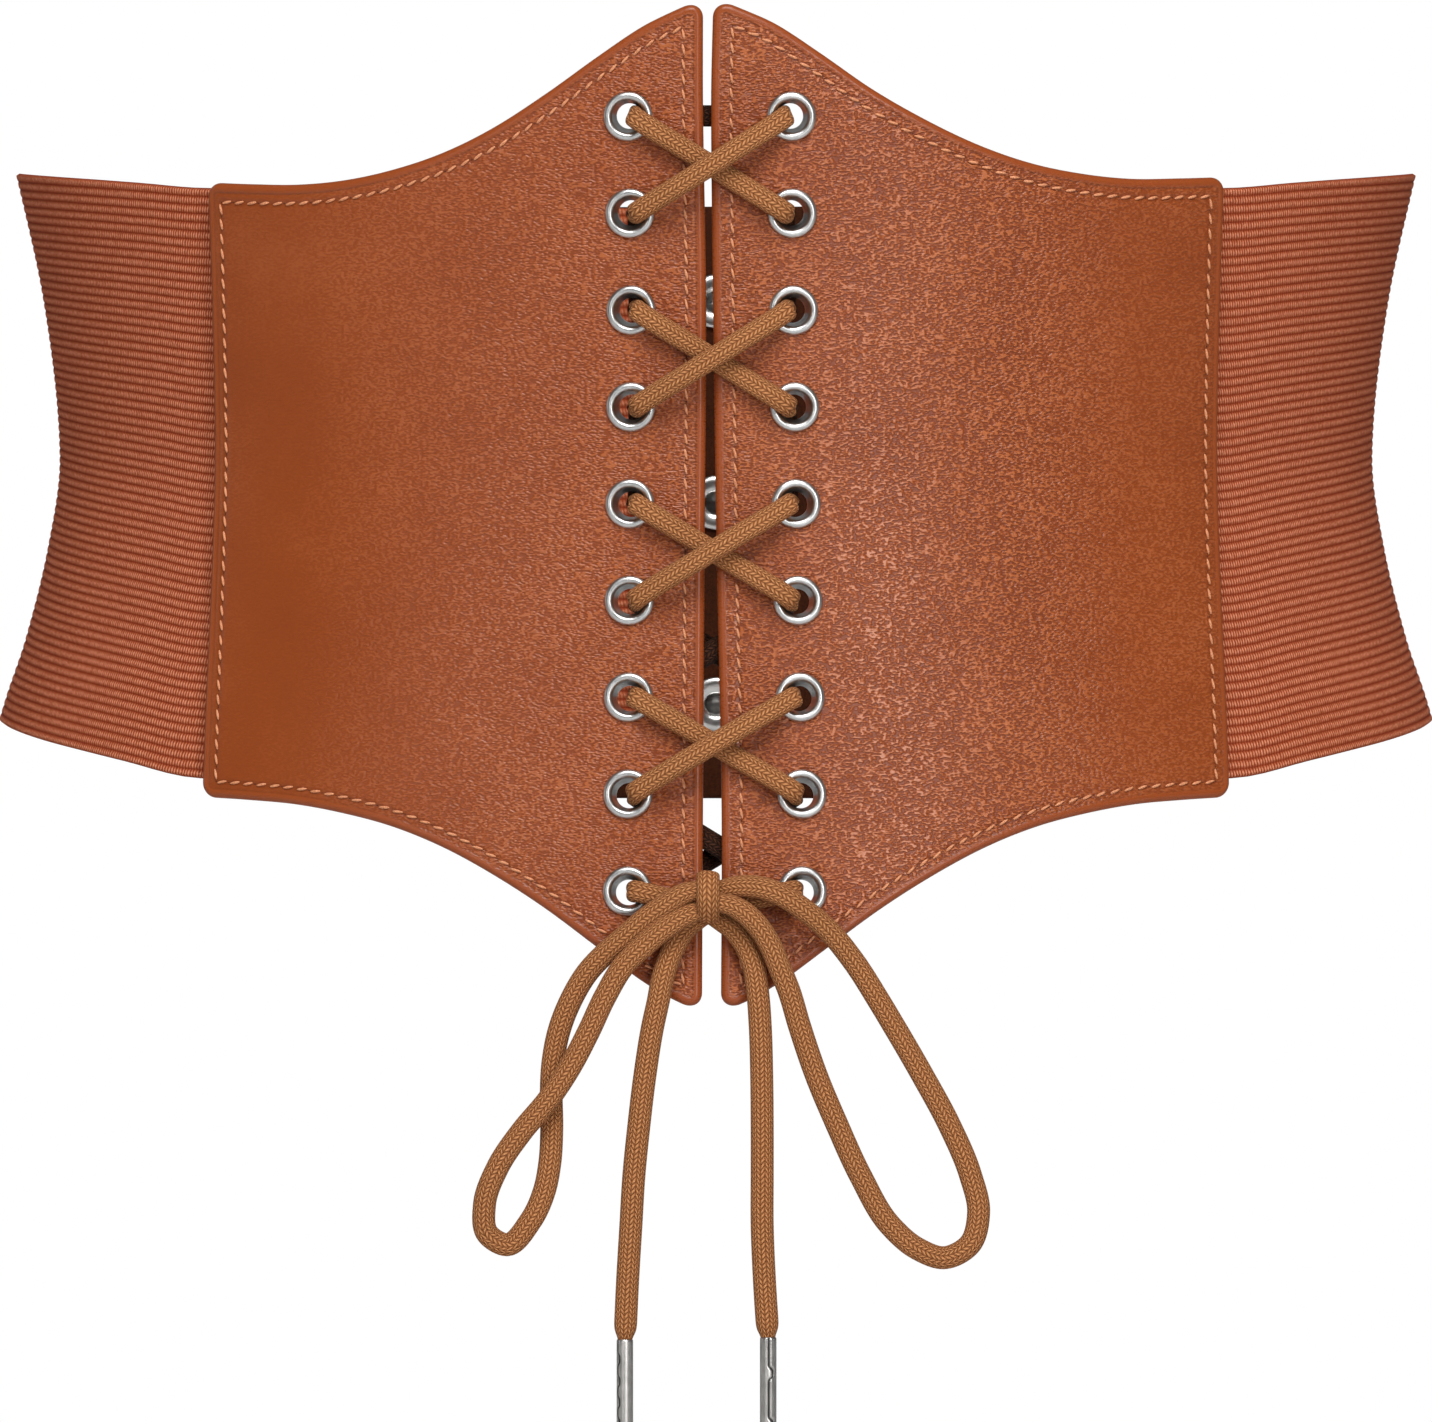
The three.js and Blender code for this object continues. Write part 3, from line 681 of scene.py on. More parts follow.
aglet_lip = 0.0004
tube_length = aglet_length + aglet_gap + aglet_lip
tube_roll = 0.00035
tube_rings = 112
tube_steps = 96
tooth_half_length = 0.0011
seam_half_width = 0.00026
seam_depth = 0.0002
# The seam's turn round the tube, its teeth's places from the top and how far they reach.
seams = {
    "left": (-2.7, (0.0040, 0.0084, 0.0126, 0.0168, 0.0210), 0.0006),
    "right": (-1.5, (0.0072, 0.0174), 0.001),
}


def seam_turn(side, down):
    """The tube's edges meet in a straight line with rounded teeth."""
    turn, teeth, reach = seams[side]
    return turn + sum(
        reach / aglet_radius * exp(-(((down - place) / tooth_half_length) ** 4))
        for place in teeth
    )


def seam_gap(side, out, down):
    """How much of the seam's gap there is at a place: 1 in its middle and 0 away from it."""
    small = 0.0001
    slope = (seam_turn(side, down + small) - seam_turn(side, down - small)) / (2 * small)
    angle = atan2(out.y, out.x) - seam_turn(side, down)
    away = abs(atan2(sin(angle), cos(angle))) * aglet_radius
    return mound(away / sqrt(1 + (slope * aglet_radius) ** 2), 0, seam_half_width)


rolled_in = aglet_radius - tube_roll
tube_straight = tube_length - 2.4 * tube_roll
tube_profile = [
    (0, 0.0006),
    (aglet_radius - 3 * tube_roll, 0.0005),
    (aglet_radius - 1.6 * tube_roll, 0.0001),
    (rolled_in, 0),
    (aglet_radius - 0.2 * tube_roll, 0.2 * tube_roll),
    *[
        (aglet_radius, 1.2 * tube_roll + tube_straight * ring / tube_rings)
        for ring in range(tube_rings + 1)
    ],
    (aglet_radius - 0.2 * tube_roll, tube_length - 0.3 * tube_roll),
    (rolled_in, tube_length),
    (aglet_radius - 1.6 * tube_roll, tube_length - tube_roll),
    (0, tube_length - 2 * tube_roll),
]
for side, route in (("left", left_tail_route), ("right", right_tail_route)):
    end = bow_points(route[-1:])[0]
    top = end + Vector((0, 0, aglet_lip))
    low = top - Vector((0, 0, tube_length))
    mesh = bmesh.new()
    spun(mesh, tube_profile, low, Vector((0, 0, 1)), Vector((1, 0, 0)), tube_steps)
    gap_layer = mesh.verts.layers.float.new("seam_gap")
    for vert in mesh.verts:
        out = vert.co - top
        down = -out.z
        out.z = 0
        if out.length > rolled_in:
            gap = seam_gap(side, out, down)
            vert[gap_layer] = gap
            vert.co -= out.normalized() * seam_depth * gap
    aglet = finished(
        mesh, f"metal_aglet_{side}", aglet_metal, [f"aglet_{side}"]
    )
    lay_cord(f"lace_tail_{side}", "fitting")


# The threaded lace: the same cord runs up through the eyelets in crosses and back down, in turn
# in front of the panels and behind them, and comes out on both sides of the knot.
threading = [
    ("left", 9, 1), ("right", 8, 0), ("left", 7, 0), ("right", 6, 0), ("left", 5, 0),
    ("left", 4, 1), ("right", 3, 0), ("right", 2, 0), ("left", 1, 0), ("right", 1, 1),
    ("left", 2, 0), ("left", 3, 0), ("right", 4, 0), ("right", 5, 1), ("left", 6, 1),
    ("right", 7, 1), ("left", 8, 0), ("right", 9, 0),
]
left_inset = 0.015
right_inset = 0.0161
threaded_size = (0.0043, 0.0025)
# How far an upper lace stands off a lower one, and how far a tight stretch sinks in its middle.
lace_core = 0.0034
lace_sink = 0.0006
lace_bend = 0.0018
lace_in_hole = 0.0012
lowest_sag = 0.0019
rim_level = 0.0008


def eyelet_place(side, row):
    height = row_height(row)
    inset = -left_inset if side == "left" else right_inset
    turn = turn_along(front_edge(side, height) + inset, height, panel_face)
    return form_point(turn, height, panel_face), form_normal(turn, height, panel_face)


def bend_points(hole, outward, target):
    """The cord leaves its hole, turns over the rolled edge and heads for the next hole."""
    along = target - hole
    along = (along - outward * along.dot(outward)).normalized()
    places = []
    for degrees in (0, 30, 60, 90):
        angle = radians(degrees)
        places.append(
            hole + along * (lace_bend * (1 - cos(angle))) + outward * (lace_bend * sin(angle))
        )
    return places, along


stops = []
for side, row, level in threading:
    origin, normal = eyelet_place(side, row)
    to_centre = Vector((1 if side == "left" else -1, 0, 0))
    to_centre = (to_centre - normal * to_centre.dot(normal)).normalized()
    middle = origin + to_centre * lace_in_hole
    stops.append({
        "level": level,
        "normal": normal,
        "front": middle + normal * rim_level,
        "back": middle - normal * (panel_thickness + rim_level),
    })

lace_end_aside = 0.0028
lace_end_ahead = 0.002
lace_end_drop = 0.0018
knot_sides = [
    knot_place + Vector((sign * lace_end_aside, -lace_end_ahead, -lace_end_drop))
    for sign in (-1, 1)
]
lace_points = [knot_sides[0]]
places, along = bend_points(stops[0]["front"], stops[0]["normal"], knot_sides[0])
leg_width = stops[0]["normal"].cross(-along)
lace_points += reversed(places)
lace_widths = [leg_width] * (len(places) + 1)
for index, (start, end) in enumerate(zip(stops, stops[1:])):
    face = "back" if index % 2 == 0 else "front"
    facing = 1 if face == "front" else -1
    leaving, along = bend_points(start[face], start["normal"] * facing, end[face])
    arriving, _ = bend_points(end[face], end["normal"] * facing, start[face])
    middle = (start["normal"] + end["normal"]).normalized() * facing
    leg_width = middle.cross(along)
    lift = lace_core - lace_sink if start["level"] == 1 else -lace_sink
    # The knot pulls down the lowest crossing behind the gap.
    pulled_down = Vector((0, 0, -lowest_sag if index == 0 else 0))
    leg = list(leaving)
    for share in (0.35, 0.65):
        leg.append(leaving[-1].lerp(arriving[-1], share) + middle * lift + pulled_down)
    leg += reversed(arriving)
    lace_points += leg
    lace_widths += [leg_width] * len(leg)
places, along = bend_points(stops[-1]["front"], stops[-1]["normal"], knot_sides[1])
leg_width = stops[-1]["normal"].cross(along)
lace_points += places + [knot_sides[1]]
lace_widths += [leg_width] * (len(places) + 1)

threaded, _, _ = braided_cord("braid_threaded", lace_points, lace_widths, threaded_size)
threaded.data.materials.append(lace_look)
# Behind the panels the lace is painted nearly black as shade.
threaded.data.materials.append(lace_material("lace_braid_in_painted_shade", [
    from_photo(26, 10, 4), from_photo(46, 22, 10), from_photo(62, 32, 16), from_photo(80, 44, 24),
]))
# Faces this far behind the front of their nearest eyelet take the painted shade.
shade_painted_from = -0.0022
for face in threaded.data.polygons:
    closest = min(stops, key=lambda stop: (stop["front"] - face.center).length)
    if (face.center - closest["front"]).dot(closest["normal"]) < shade_painted_from:
        face.material_index = 1
stand_in(threaded, ["lace_threaded"])


# The front panels: two stiff layers of grained imitation leather, cut to points above and below
# at the centre front. Their edges are rolled and smooth, with a crease, and a row of stitches
# runs round inside it. Nine holes in each take the eyelets.
panel_reach = 0.1084
panel_width = panel_reach + left_edge
tip_radius = 0.004
joint_radius = 0.003
panel_hole = 0.0034
leather_row_step = 0.0014

# A share across from the front edge, the top edge left and right, and the bottom edge.
panel_outline = [
    (0, 1.035, 1.038, 1.045),
    (0.06, 0.955, 0.965, 0.975),
    (0.12, 0.862, 0.879, 0.882),
    (0.2, 0.697, 0.716, 0.728),
    (0.3, 0.48, 0.501, 0.538),
    (0.4, 0.286, 0.324, 0.374),
    (0.5, 0.14, 0.18, 0.238),
    (0.6, 0.042, 0.077, 0.137),
    (0.7, -0.018, 0.019, 0.072),
    (0.8, -0.042, -0.008, 0.028),
    (0.9, -0.036, -0.002, 0.007),
    (1, -0.022, 0.01, -0.007),
]
# Distances in millimetres from an edge at which the leather's surface has a line of points.
edge_lines = [
    0, 0.03, 0.12, 0.3, 0.55, 0.85, 1.2, 1.5, 1.7, 1.85, 2.0, 2.15, 2.4, 2.7, 3.0, 3.3, 3.6, 3.9,
    4.2, 4.6, 5.1,
]
edge_lines = [line / 1000 for line in edge_lines]


def corner_cut(distance, radius):
    inside = max(radius - distance, 0)
    return radius - sqrt(max(radius * radius - inside * inside, 0))


def even_marks(start, end, step):
    count = max(1, round((end - start) / step))
    return [start + (end - start) * index / count for index in range(count + 1)]


class LeatherShape:
    """A piece of leather laid flat: how wide it is, and its top and bottom edge across it.
    Across runs the way that the turn grows."""

    def __init__(self, width, radii, top, bottom, place, columns, stitch_insets):
        self.width = width
        self.radii = radii
        self.top = top
        self.bottom = bottom
        self.place = place
        self.columns = columns
        self.stitch_insets = stitch_insets
        tallest = max(top(across) - bottom(across) for across in columns)
        self.row_count = round((tallest - 2 * edge_lines[-1]) / leather_row_step)

    def cut(self, across):
        return corner_cut(across, self.radii[0]) + corner_cut(self.width - across, self.radii[1])

    def lean(self, edge, across):
        small = 0.0005
        slope = (edge(across + small) - edge(across - small)) / (2 * small)
        return sqrt(1 + slope * slope)

    def heights(self, across):
        """The heights of the lines of points in one column, from the bottom to the top."""
        top = self.top(across) - self.cut(across)
        bottom = self.bottom(across) + self.cut(across)
        up = self.lean(self.top, across)
        down = self.lean(self.bottom, across)
        first = [bottom + line * down for line in edge_lines]
        last = [top - line * up for line in reversed(edge_lines)]
        count = self.row_count
        middle = [
            first[-1] + (last[0] - first[-1]) * index / count for index in range(1, count)
        ]
        return first + middle + last

    def outline(self, step=0.0001):
        """Points all round the edge, close together."""
        points = []
        for across in even_marks(0, self.width, step):
            points.append((across, self.top(across) - self.cut(across)))
            points.append((across, self.bottom(across) + self.cut(across)))
        for across in (0, self.width):
            low = self.bottom(across) + self.cut(across)
            high = self.top(across) - self.cut(across)
            points += [(across, height) for height in even_marks(low, high, step)]
        corner_steps = 60
        for radius, from_end in ((self.radii[0], 0), (self.radii[1], 1)):
            for index in range(corner_steps):
                distance = radius * (1 - cos(pi / 2 * index / corner_steps))
                across = distance if from_end == 0 else self.width - distance
                points.append((across, self.top(across) - self.cut(across)))
                points.append((across, self.bottom(across) + self.cut(across)))
        return points

    def stitch_rows(self):
        """The four rows of stitches as lines of flat points: start edge, end edge, top, bottom."""
        start_inset, end_inset, top_inset, bottom_inset = self.stitch_insets
        start, end = start_inset, self.width - end_inset

        def top(across):
            return self.top(across) - top_inset * self.lean(self.top, across)

        def bottom(across):
            return self.bottom(across) + bottom_inset * self.lean(self.bottom, across)

        step = 0.0005
        upper = [(across, top(across)) for across in even_marks(start, end, step)]
        lower = [(across, bottom(across)) for across in even_marks(start, end, step)]
        first = [(start, height) for height in even_marks(bottom(start), top(start), step)]
        second = [(end, height) for height in even_marks(bottom(end), top(end), step)]
        return [first, second, upper, lower]


def point_finder(points):
    """Finds how far a flat place is from the nearest of many points."""
    tree = KDTree(len(points))
    for index, (across, height) in enumerate(points):
        tree.insert((across, height, 0), index)
    tree.balance()
    return tree


roll_reach = 0.0012
# Each has its height or depth, its distance from the edge and its spread.
rim_swell = (0.00008, 0.0011, 0.0006)
rim_crease = (0.00009, 0.0021, 0.0003)
seam_groove = (0.00014, 0, 0.0005)


def edge_drop(edge, thickness):
    """How far each face drops near the rolled edge."""
    share = 1 - min(edge / roll_reach, 1)
    return thickness / 2 * (1 - sqrt(max(1 - share * share, 0)))


def outer_level(edge, seam, thickness):
    """How far the outer face stands off the inner one, at its distance from edge and seam."""
    height, middle, spread = rim_swell
    swell = height * mound(edge, middle, spread)
    if edge < roll_reach:
        return thickness - edge_drop(edge, thickness) + swell * edge / roll_reach
    depth, middle, spread = rim_crease
    crease = depth * mound(edge, middle, spread)
    depth, middle, spread = seam_groove
    groove = depth * mound(seam, middle, spread)
    return thickness - crease - groove + swell


def cut_holes(mesh, sheets, holes):
    """Each hole is opened in both faces, its rims are made round, and a wall joins them."""
    doomed = []
    rims = []
    for origin, normal, radius in holes:
        inside = []
        for index, vert in enumerate(sheets[0]):
            offset = vert.co - origin
            near = offset.length < 0.01
            offset -= normal * offset.dot(normal)
            if near and offset.length < radius:
                inside.append(index)
        for sheet in sheets:
            gone = {sheet[index] for index in inside}
            rim = {
                other
                for vert in gone
                for face in vert.link_faces
                for other in face.verts
                if other not in gone
            }
            for vert in rim:
                offset = vert.co - origin
                along = offset.dot(normal)
                offset -= normal * along
                vert.co = origin + normal * along + offset.normalized() * radius
            rims.append(rim)
            doomed += gone
    bmesh.ops.delete(mesh, geom=doomed, context="VERTS")
    for first, second in zip(rims[::2], rims[1::2]):
        both = first | second
        edges = {
            edge for vert in both for edge in vert.link_edges
            if edge.is_boundary and edge.verts[0] in both and edge.verts[1] in both
        }
        bmesh.ops.bridge_loops(mesh, edges=list(edges))


def leather_piece(name, shape, inner, thickness, holes, node_name):
    """Two faces of points, the outer one shaped by its rim and seams, joined at the edge."""
    columns = shape.columns
    outline = point_finder(shape.outline())
    sewn = point_finder([point for row in shape.stitch_rows() for point in row])
    flat = [[(across, height) for height in shape.heights(across)] for across in columns]
    rows = len(flat[0])
    mesh = bmesh.new()
    from_edge = mesh.verts.layers.float.new("from_edge")
    from_seam = mesh.verts.layers.float.new("from_seam")
    sheets = []
    for outer in (True, False):
        made = bmesh.ops.create_grid(
            mesh, x_segments=len(columns) - 1, y_segments=rows - 1, size=0.5
        )
        for index, vert in enumerate(made["verts"]):
            column = index % len(columns)
            row = index // len(columns)
            across, height = flat[column][row]
            border = column in (0, len(columns) - 1) or row in (0, rows - 1)
            edge = 0 if border else outline.find((across, height, 0))[2]
            seam = sewn.find((across, height, 0))[2]
            level = outer_level(edge, seam, thickness) if outer else edge_drop(edge, thickness)
            vert.co = shape.place(across, height, inner + level)
            vert[from_edge] = edge
            vert[from_seam] = seam
        sheets.append(made["verts"])
        if not outer:
            # The inner face takes the backing, darkened as painted shade.
            turned = {face for vert in made["verts"] for face in vert.link_faces}
            for face in turned:
                face.material_index = 1
            bmesh.ops.reverse_faces(mesh, faces=list(turned))
    cut_holes(mesh, sheets, holes)
    piece = finished(mesh, name, leather_look, [node_name])
    piece.data.materials.append(shaded_backing_look)


def grain_group():
    """The coating's grain: short wavy crests that run round the body, close above each other."""
    tree, entry, leaving = new_group(
        "rippled_grain", [("Place", "Vector")], [("Height", "Float"), ("Shade", "Float")]
    )
    drawn_out = tree.nodes.new("ShaderNodeMapping")
    drawn_out.inputs["Scale"].default_value = (1.0, 1.0, 1.9)
    tree.links.new(entry["Place"], drawn_out.inputs["Vector"])
    waves = noise(tree, drawn_out.outputs[0], 1350, 0)
    height = math_node(tree, "MULTIPLY_ADD", waves, 3.2, -1.1, clamp=True)
    shade = math_node(tree, "MULTIPLY_ADD", noise(tree, entry["Place"], 40, 2), 0.16, 0.42)
    tree.links.new(height, leaving["Height"])
    tree.links.new(shade, leaving["Shade"])
    return tree


rippled_grain = grain_group()


def map_range(tree, value, start, end, to_start=0.0, to_end=1.0):
    node = tree.nodes.new("ShaderNodeMapRange")
    node.inputs["From Min"].default_value = start
    node.inputs["From Max"].default_value = end
    node.inputs["To Min"].default_value = to_start
    node.inputs["To Max"].default_value = to_end
    tree.links.new(value, node.inputs["Value"])
    return node.outputs[0]


def leather_material(name, dark, middle, light, rim_colour):
    material, tree, shader, coordinates = new_material(name)
    grain = place_group(tree, rippled_grain)
    tree.links.new(coordinates.outputs["Object"], grain.inputs["Place"])
    # The grain's relief, and the painted highlight and shade on its crests and hollows, are
    # strongest beside the lacing on the right and fade towards both sides, most of all to the
    # left.
    split = tree.nodes.new("ShaderNodeSeparateXYZ")
    tree.links.new(coordinates.outputs["Object"], split.inputs[0])
    along = math_node(tree, "MULTIPLY_ADD", split.outputs[0], 5.0, 0.5)
    strengths = [(0.07, 0.1), (0.25, 0.5), (0.52, 0.9), (0.62, 1.0), (0.8, 1.0), (0.92, 0.4)]
    pressed = colour_ramp(
        tree, along, [(place, (strength,) * 3) for place, strength in strengths]
    )
    raised = math_node(tree, "SUBTRACT", grain.outputs["Height"], 0.5)
    relief = math_node(tree, "MULTIPLY", raised, pressed)
    # The ramp lightens the grain's crests as painted highlight and darkens its hollows as painted
    # shade.
    face = colour_ramp(
        tree, math_node(tree, "MULTIPLY_ADD", relief, 0.4, grain.outputs["Shade"]),
        [(0.28, dark), (0.5, middle), (0.72, light)],
    )
    # The rolled rim has no grain. The crease beside it and the seam's groove are darkened as
    # painted shade.
    from_edge = attribute(tree, "from_edge")
    off_rim = map_range(tree, from_edge, 0.0013, 0.0021)
    with_rim = mix_colours(tree, off_rim, (*rim_colour, 1), face)
    from_crease = math_node(tree, "ABSOLUTE", math_node(tree, "SUBTRACT", from_edge, 0.0019))
    creased = math_node(tree, "DIVIDE", from_crease, 0.0003, clamp=True)
    pulled = math_node(tree, "DIVIDE", attribute(tree, "from_seam"), 0.0009, clamp=True)
    soft = math_node(tree, "MULTIPLY_ADD", math_node(tree, "MINIMUM", creased, pulled), 0.22, 0.78)
    with_groove_shade = mix_colours(tree, 1.0, with_rim, soft, "MULTIPLY")
    tree.links.new(with_groove_shade, shader.inputs["Base Color"])
    roughness = math_node(tree, "MULTIPLY_ADD", relief, -0.1, 0.31)
    tree.links.new(roughness, shader.inputs["Roughness"])
    shader.inputs["Specular IOR Level"].default_value = 0.34
    smooth_rim = math_node(tree, "MULTIPLY", relief, off_rim)
    tree.links.new(bump(tree, smooth_rim, 0.00018), shader.inputs["Normal"])
    return material


# The dark and light colours are the grain's painted shade and painted highlight.
leather_look = leather_material(
    "tan_leather", from_photo(125, 55, 21), from_photo(146, 69, 28), from_photo(184, 104, 61),
    from_photo(150, 72, 32),
)


def mottled_material(name, scale, detail, dark, light, rough, shine=0.5, raised=True):
    """A matt finish in two shades that run into each other, and raised where it is lighter."""
    material, tree, shader, coordinates = new_material(name)
    fibre = noise(tree, coordinates.outputs["Object"], scale, detail)
    colour = colour_ramp(tree, fibre, [(0.3, dark), (0.7, light)])
    tree.links.new(colour, shader.inputs["Base Color"])
    shader.inputs["Roughness"].default_value = rough
    shader.inputs["Specular IOR Level"].default_value = shine
    if raised:
        tree.links.new(bump(tree, fibre, 0.0001, 0.6), shader.inputs["Normal"])
    return material


# The inside is faced with a knitted backing whose dark brown is painted shade for the shadowed
# inside of the belt.
shaded_backing_look = mottled_material(
    "backing_painted_dark", 1800, 3, from_photo(48, 22, 10), from_photo(70, 34, 16), 0.9, 0.1
)


past_eyelets = 0.024
# The stitches' distance from the front edge, the side edge, the top and the bottom.
panel_stitch_insets = (0.0039, 0.0036, 0.0038, 0.0033)


def panel_shape(side):
    front_first = side == "right"

    def from_front(across):
        return across if front_first else panel_width - across

    def top(across):
        share = from_front(across) / panel_width
        return joint_top + peak_rise * read_table(panel_outline, 2 if front_first else 1, share)

    def bottom(across):
        share = from_front(across) / panel_width
        return joint_top - side_height - point_drop * read_table(panel_outline, 3, share)

    def place(across, height, proud):
        share = from_front(across) / panel_width
        sign = -1 if side == "left" else 1
        start = front_edge(side, height)
        distance = start + (sign * panel_reach - start) * share
        return form_point(turn_along(distance, height, panel_face), height, proud)

    near_eyelets = even_marks(edge_lines[-1], past_eyelets, 0.0009)
    plain = even_marks(past_eyelets, panel_width - edge_lines[-1], leather_row_step)
    marks = edge_lines[:-1] + near_eyelets[:-1] + plain[:-1]
    marks += [panel_width - line for line in reversed(edge_lines)]
    radii = (tip_radius, joint_radius)
    insets = panel_stitch_insets
    if not front_first:
        marks = [panel_width - mark for mark in reversed(marks)]
        radii = (joint_radius, tip_radius)
        insets = (insets[1], insets[0], *insets[2:])
    return LeatherShape(panel_width, radii, top, bottom, place, marks, insets)


panel_shapes = {}
for side in ("left", "right"):
    shape = panel_shape(side)
    panel_shapes[side] = shape
    holes = [(*eyelet_place(side, row), panel_hole) for row in range(1, row_count + 1)]
    leather_piece(
        f"leather_panel_{side}", shape, panel_inside, panel_thickness, holes, f"panel_{side}"
    )


# The stitches: thick light thread, each stitch a short capsule that leans a little across its
# row, with a dark disc of painted shade for the needle hole between each two.
stitch_pitch = 0.0030
stitch_length = 0.0023
stitch_width = 0.0006
stitch_lean = radians(13)
stitch_lift = 0.00003
needle_hole_size = (0.00045, 0.0006)
needle_hole_sink = 0.00012

thread_look = mottled_material(
    "stitch_thread", 3600, 3, from_photo(190, 112, 70), from_photo(240, 168, 122), 0.6
)
# The needle holes are dark discs that paint the shade inside each hole.
needle_shade_look = mottled_material(
    "painted_needle_hole_shade", 2500, 2, from_photo(70, 26, 8), from_photo(98, 40, 14), 0.9, raised=False
)


def along_row(row, pitch):
    """The needle holes at an even pitch along a row of flat points, with each stitch's middle."""
    row = [Vector(point) for point in row]
    travelled = distances_along(row)
    count = max(1, round(travelled[-1] / pitch))
    return [
        row[at].lerp(row[at + 1], share) for at, share in even_steps(travelled, 2 * count)
    ]


def face_frame(shape, place, proud, way):
    """A turned frame on the leather's face: along the stitch, across it and outwards."""
    small = 0.0005
    here = shape.place(*place, proud)
    beside = shape.place(place[0] + small, place[1], proud)
    above = shape.place(place[0], place[1] + small, proud)
    outward = (beside - here).cross(above - here).normalized()
    if way.x < 0:
        way = -way
    way = Matrix.Rotation(stitch_lean, 3, outward) @ way
    turned = Matrix((way, outward.cross(way), outward)).transposed().to_4x4()
    return here, outward, turned


def stitched(name, shape, face_proud):
    """The stitches of a leather piece as one mesh, and dark discs of painted shade for its needle
    holes as another.
    """
    thread = bmesh.new()
    holes = bmesh.new()
    # The sphere's poles point along the stitch.
    poles = Matrix.Rotation(radians(90), 4, "Y")
    stitch_size = Matrix.Diagonal((stitch_length, stitch_width, stitch_width, 1)) @ poles
    hole_size = Matrix.Diagonal((*needle_hole_size, 1, 1))
    for row in shape.stitch_rows():
        places = along_row(row, stitch_pitch)
        for index in range(1, len(places) - 1, 2):
            before = shape.place(*places[index - 1], face_proud)
            after = shape.place(*places[index + 1], face_proud)
            here, outward, turned = face_frame(
                shape, places[index], face_proud, (after - before).normalized()
            )
            made = bmesh.ops.create_uvsphere(thread, u_segments=8, v_segments=5, radius=0.5)
            lifted = Matrix.Translation(here + outward * stitch_lift)
            bmesh.ops.transform(
                thread, matrix=lifted @ turned @ stitch_size, verts=made["verts"]
            )
            made = bmesh.ops.create_circle(holes, cap_ends=True, segments=8, radius=0.5)
            sunk = Matrix.Translation(before - outward * needle_hole_sink)
            bmesh.ops.transform(holes, matrix=sunk @ turned @ hole_size, verts=made["verts"])
    finished(thread, f"stitches_{name}", thread_look, [])
    finished(holes, f"needle_hole_shades_{name}", needle_shade_look, [])


for side in ("left", "right"):
    stitched(side, panel_shapes[side], panel_face)


# The eyelets: bright satin metal tubes pressed through the panel, with both ends rolled over
# into smooth rings.
eyelet_metal = metal_material("eyelet_metal", (0.66, 0.66, 0.65), 0.33, 1500)
# Radius and height in millimetres, from the hole's back end out, to the front and back again.
eyelet_profile = [
    (2.55, -3.15), (2.7, -3.4), (3.2, -3.5), (4.1, -3.35), (4.75, -3.0), (4.9, -2.72),
    (4.75, -2.65), (3.5, -2.6), (3.3, -2.4), (3.3, 0.0), (3.6, 0.1), (4.7, 0.0), (4.9, 0.05),
    (4.97, 0.2), (4.95, 0.42), (4.84, 0.66), (4.64, 0.86), (4.38, 1.0), (4.1, 1.05),
    (3.82, 1.0), (3.56, 0.84), (3.36, 0.58), (3.24, 0.2), (3.16, -0.3), (3.02, -1.1),
    (2.8, -1.9), (2.6, -2.6), (2.55, -3.15),
]
round_steps = 48


def turned_metal(name, node_name, profile, origin, normal, metal, slot):
    """A pressed metal piece, round about the line that stands on the face at its place."""
    mesh = bmesh.new()
    in_metres = [(radius / 1000, height / 1000) for radius, height in profile]
    spun(mesh, in_metres, origin, normal, Vector((0, 0, 1)), round_steps)
    finished(mesh, name, metal, [node_name])


for side in ("left", "right"):
    for row in range(1, row_count + 1):
        turned_metal(
            f"rolled_eyelet_{side}_{row}", f"eyelet_{side}_{row}", eyelet_profile,
            *eyelet_place(side, row), eyelet_metal, "eyelet_metal",
        )


# The elastic: one wide ribbed band on each side, sewn behind the panel and to a closing strip.
# It is woven with fine ribs that run round the body, and is narrower where it is free at the side.
elastic_thickness = 0.0015
elastic_tuck = 0.012
elastic_top_step = 0.0017
elastic_bottom_step = 0.0042
side_top_rise = 0.0046
side_bottom_rise = 0.0115
elastic_end = 0.016
rib_count = 68
rib_rows = 4
elastic_columns = 72
rib_depth = 0.0002
rib_roundness = 0.7
elastic_length = 0.255
pick_pitch = 0.0006

# A share of the way from the panel to the strip, and how much of its drawing-in there is there.
elastic_draw = [
    (0, 0), (0.05, 0), (0.11, 0.28), (0.18, 0.54), (0.29, 0.85), (0.38, 1), (0.5, 0.93),
    (0.7, 0.5), (0.85, 0.17), (1, 0),
]


def elastic_place(side, around, up):
    """The turn and height at a share round the side, from the panel, and a share up."""
    sign = -1 if side == "left" else 1
    lift = read_table(elastic_draw, 1, around)
    top = joint_top - elastic_top_step + side_top_rise * lift
    bottom = joint_top - side_height + elastic_bottom_step + side_bottom_rise * lift
    height = bottom + (top - bottom) * up
    start = turn_along(sign * (panel_reach - elastic_tuck), height, 0)
    end = turn_along(-sign * elastic_end, height, 0, sign * pi)
    return start + (end - start) * around, height


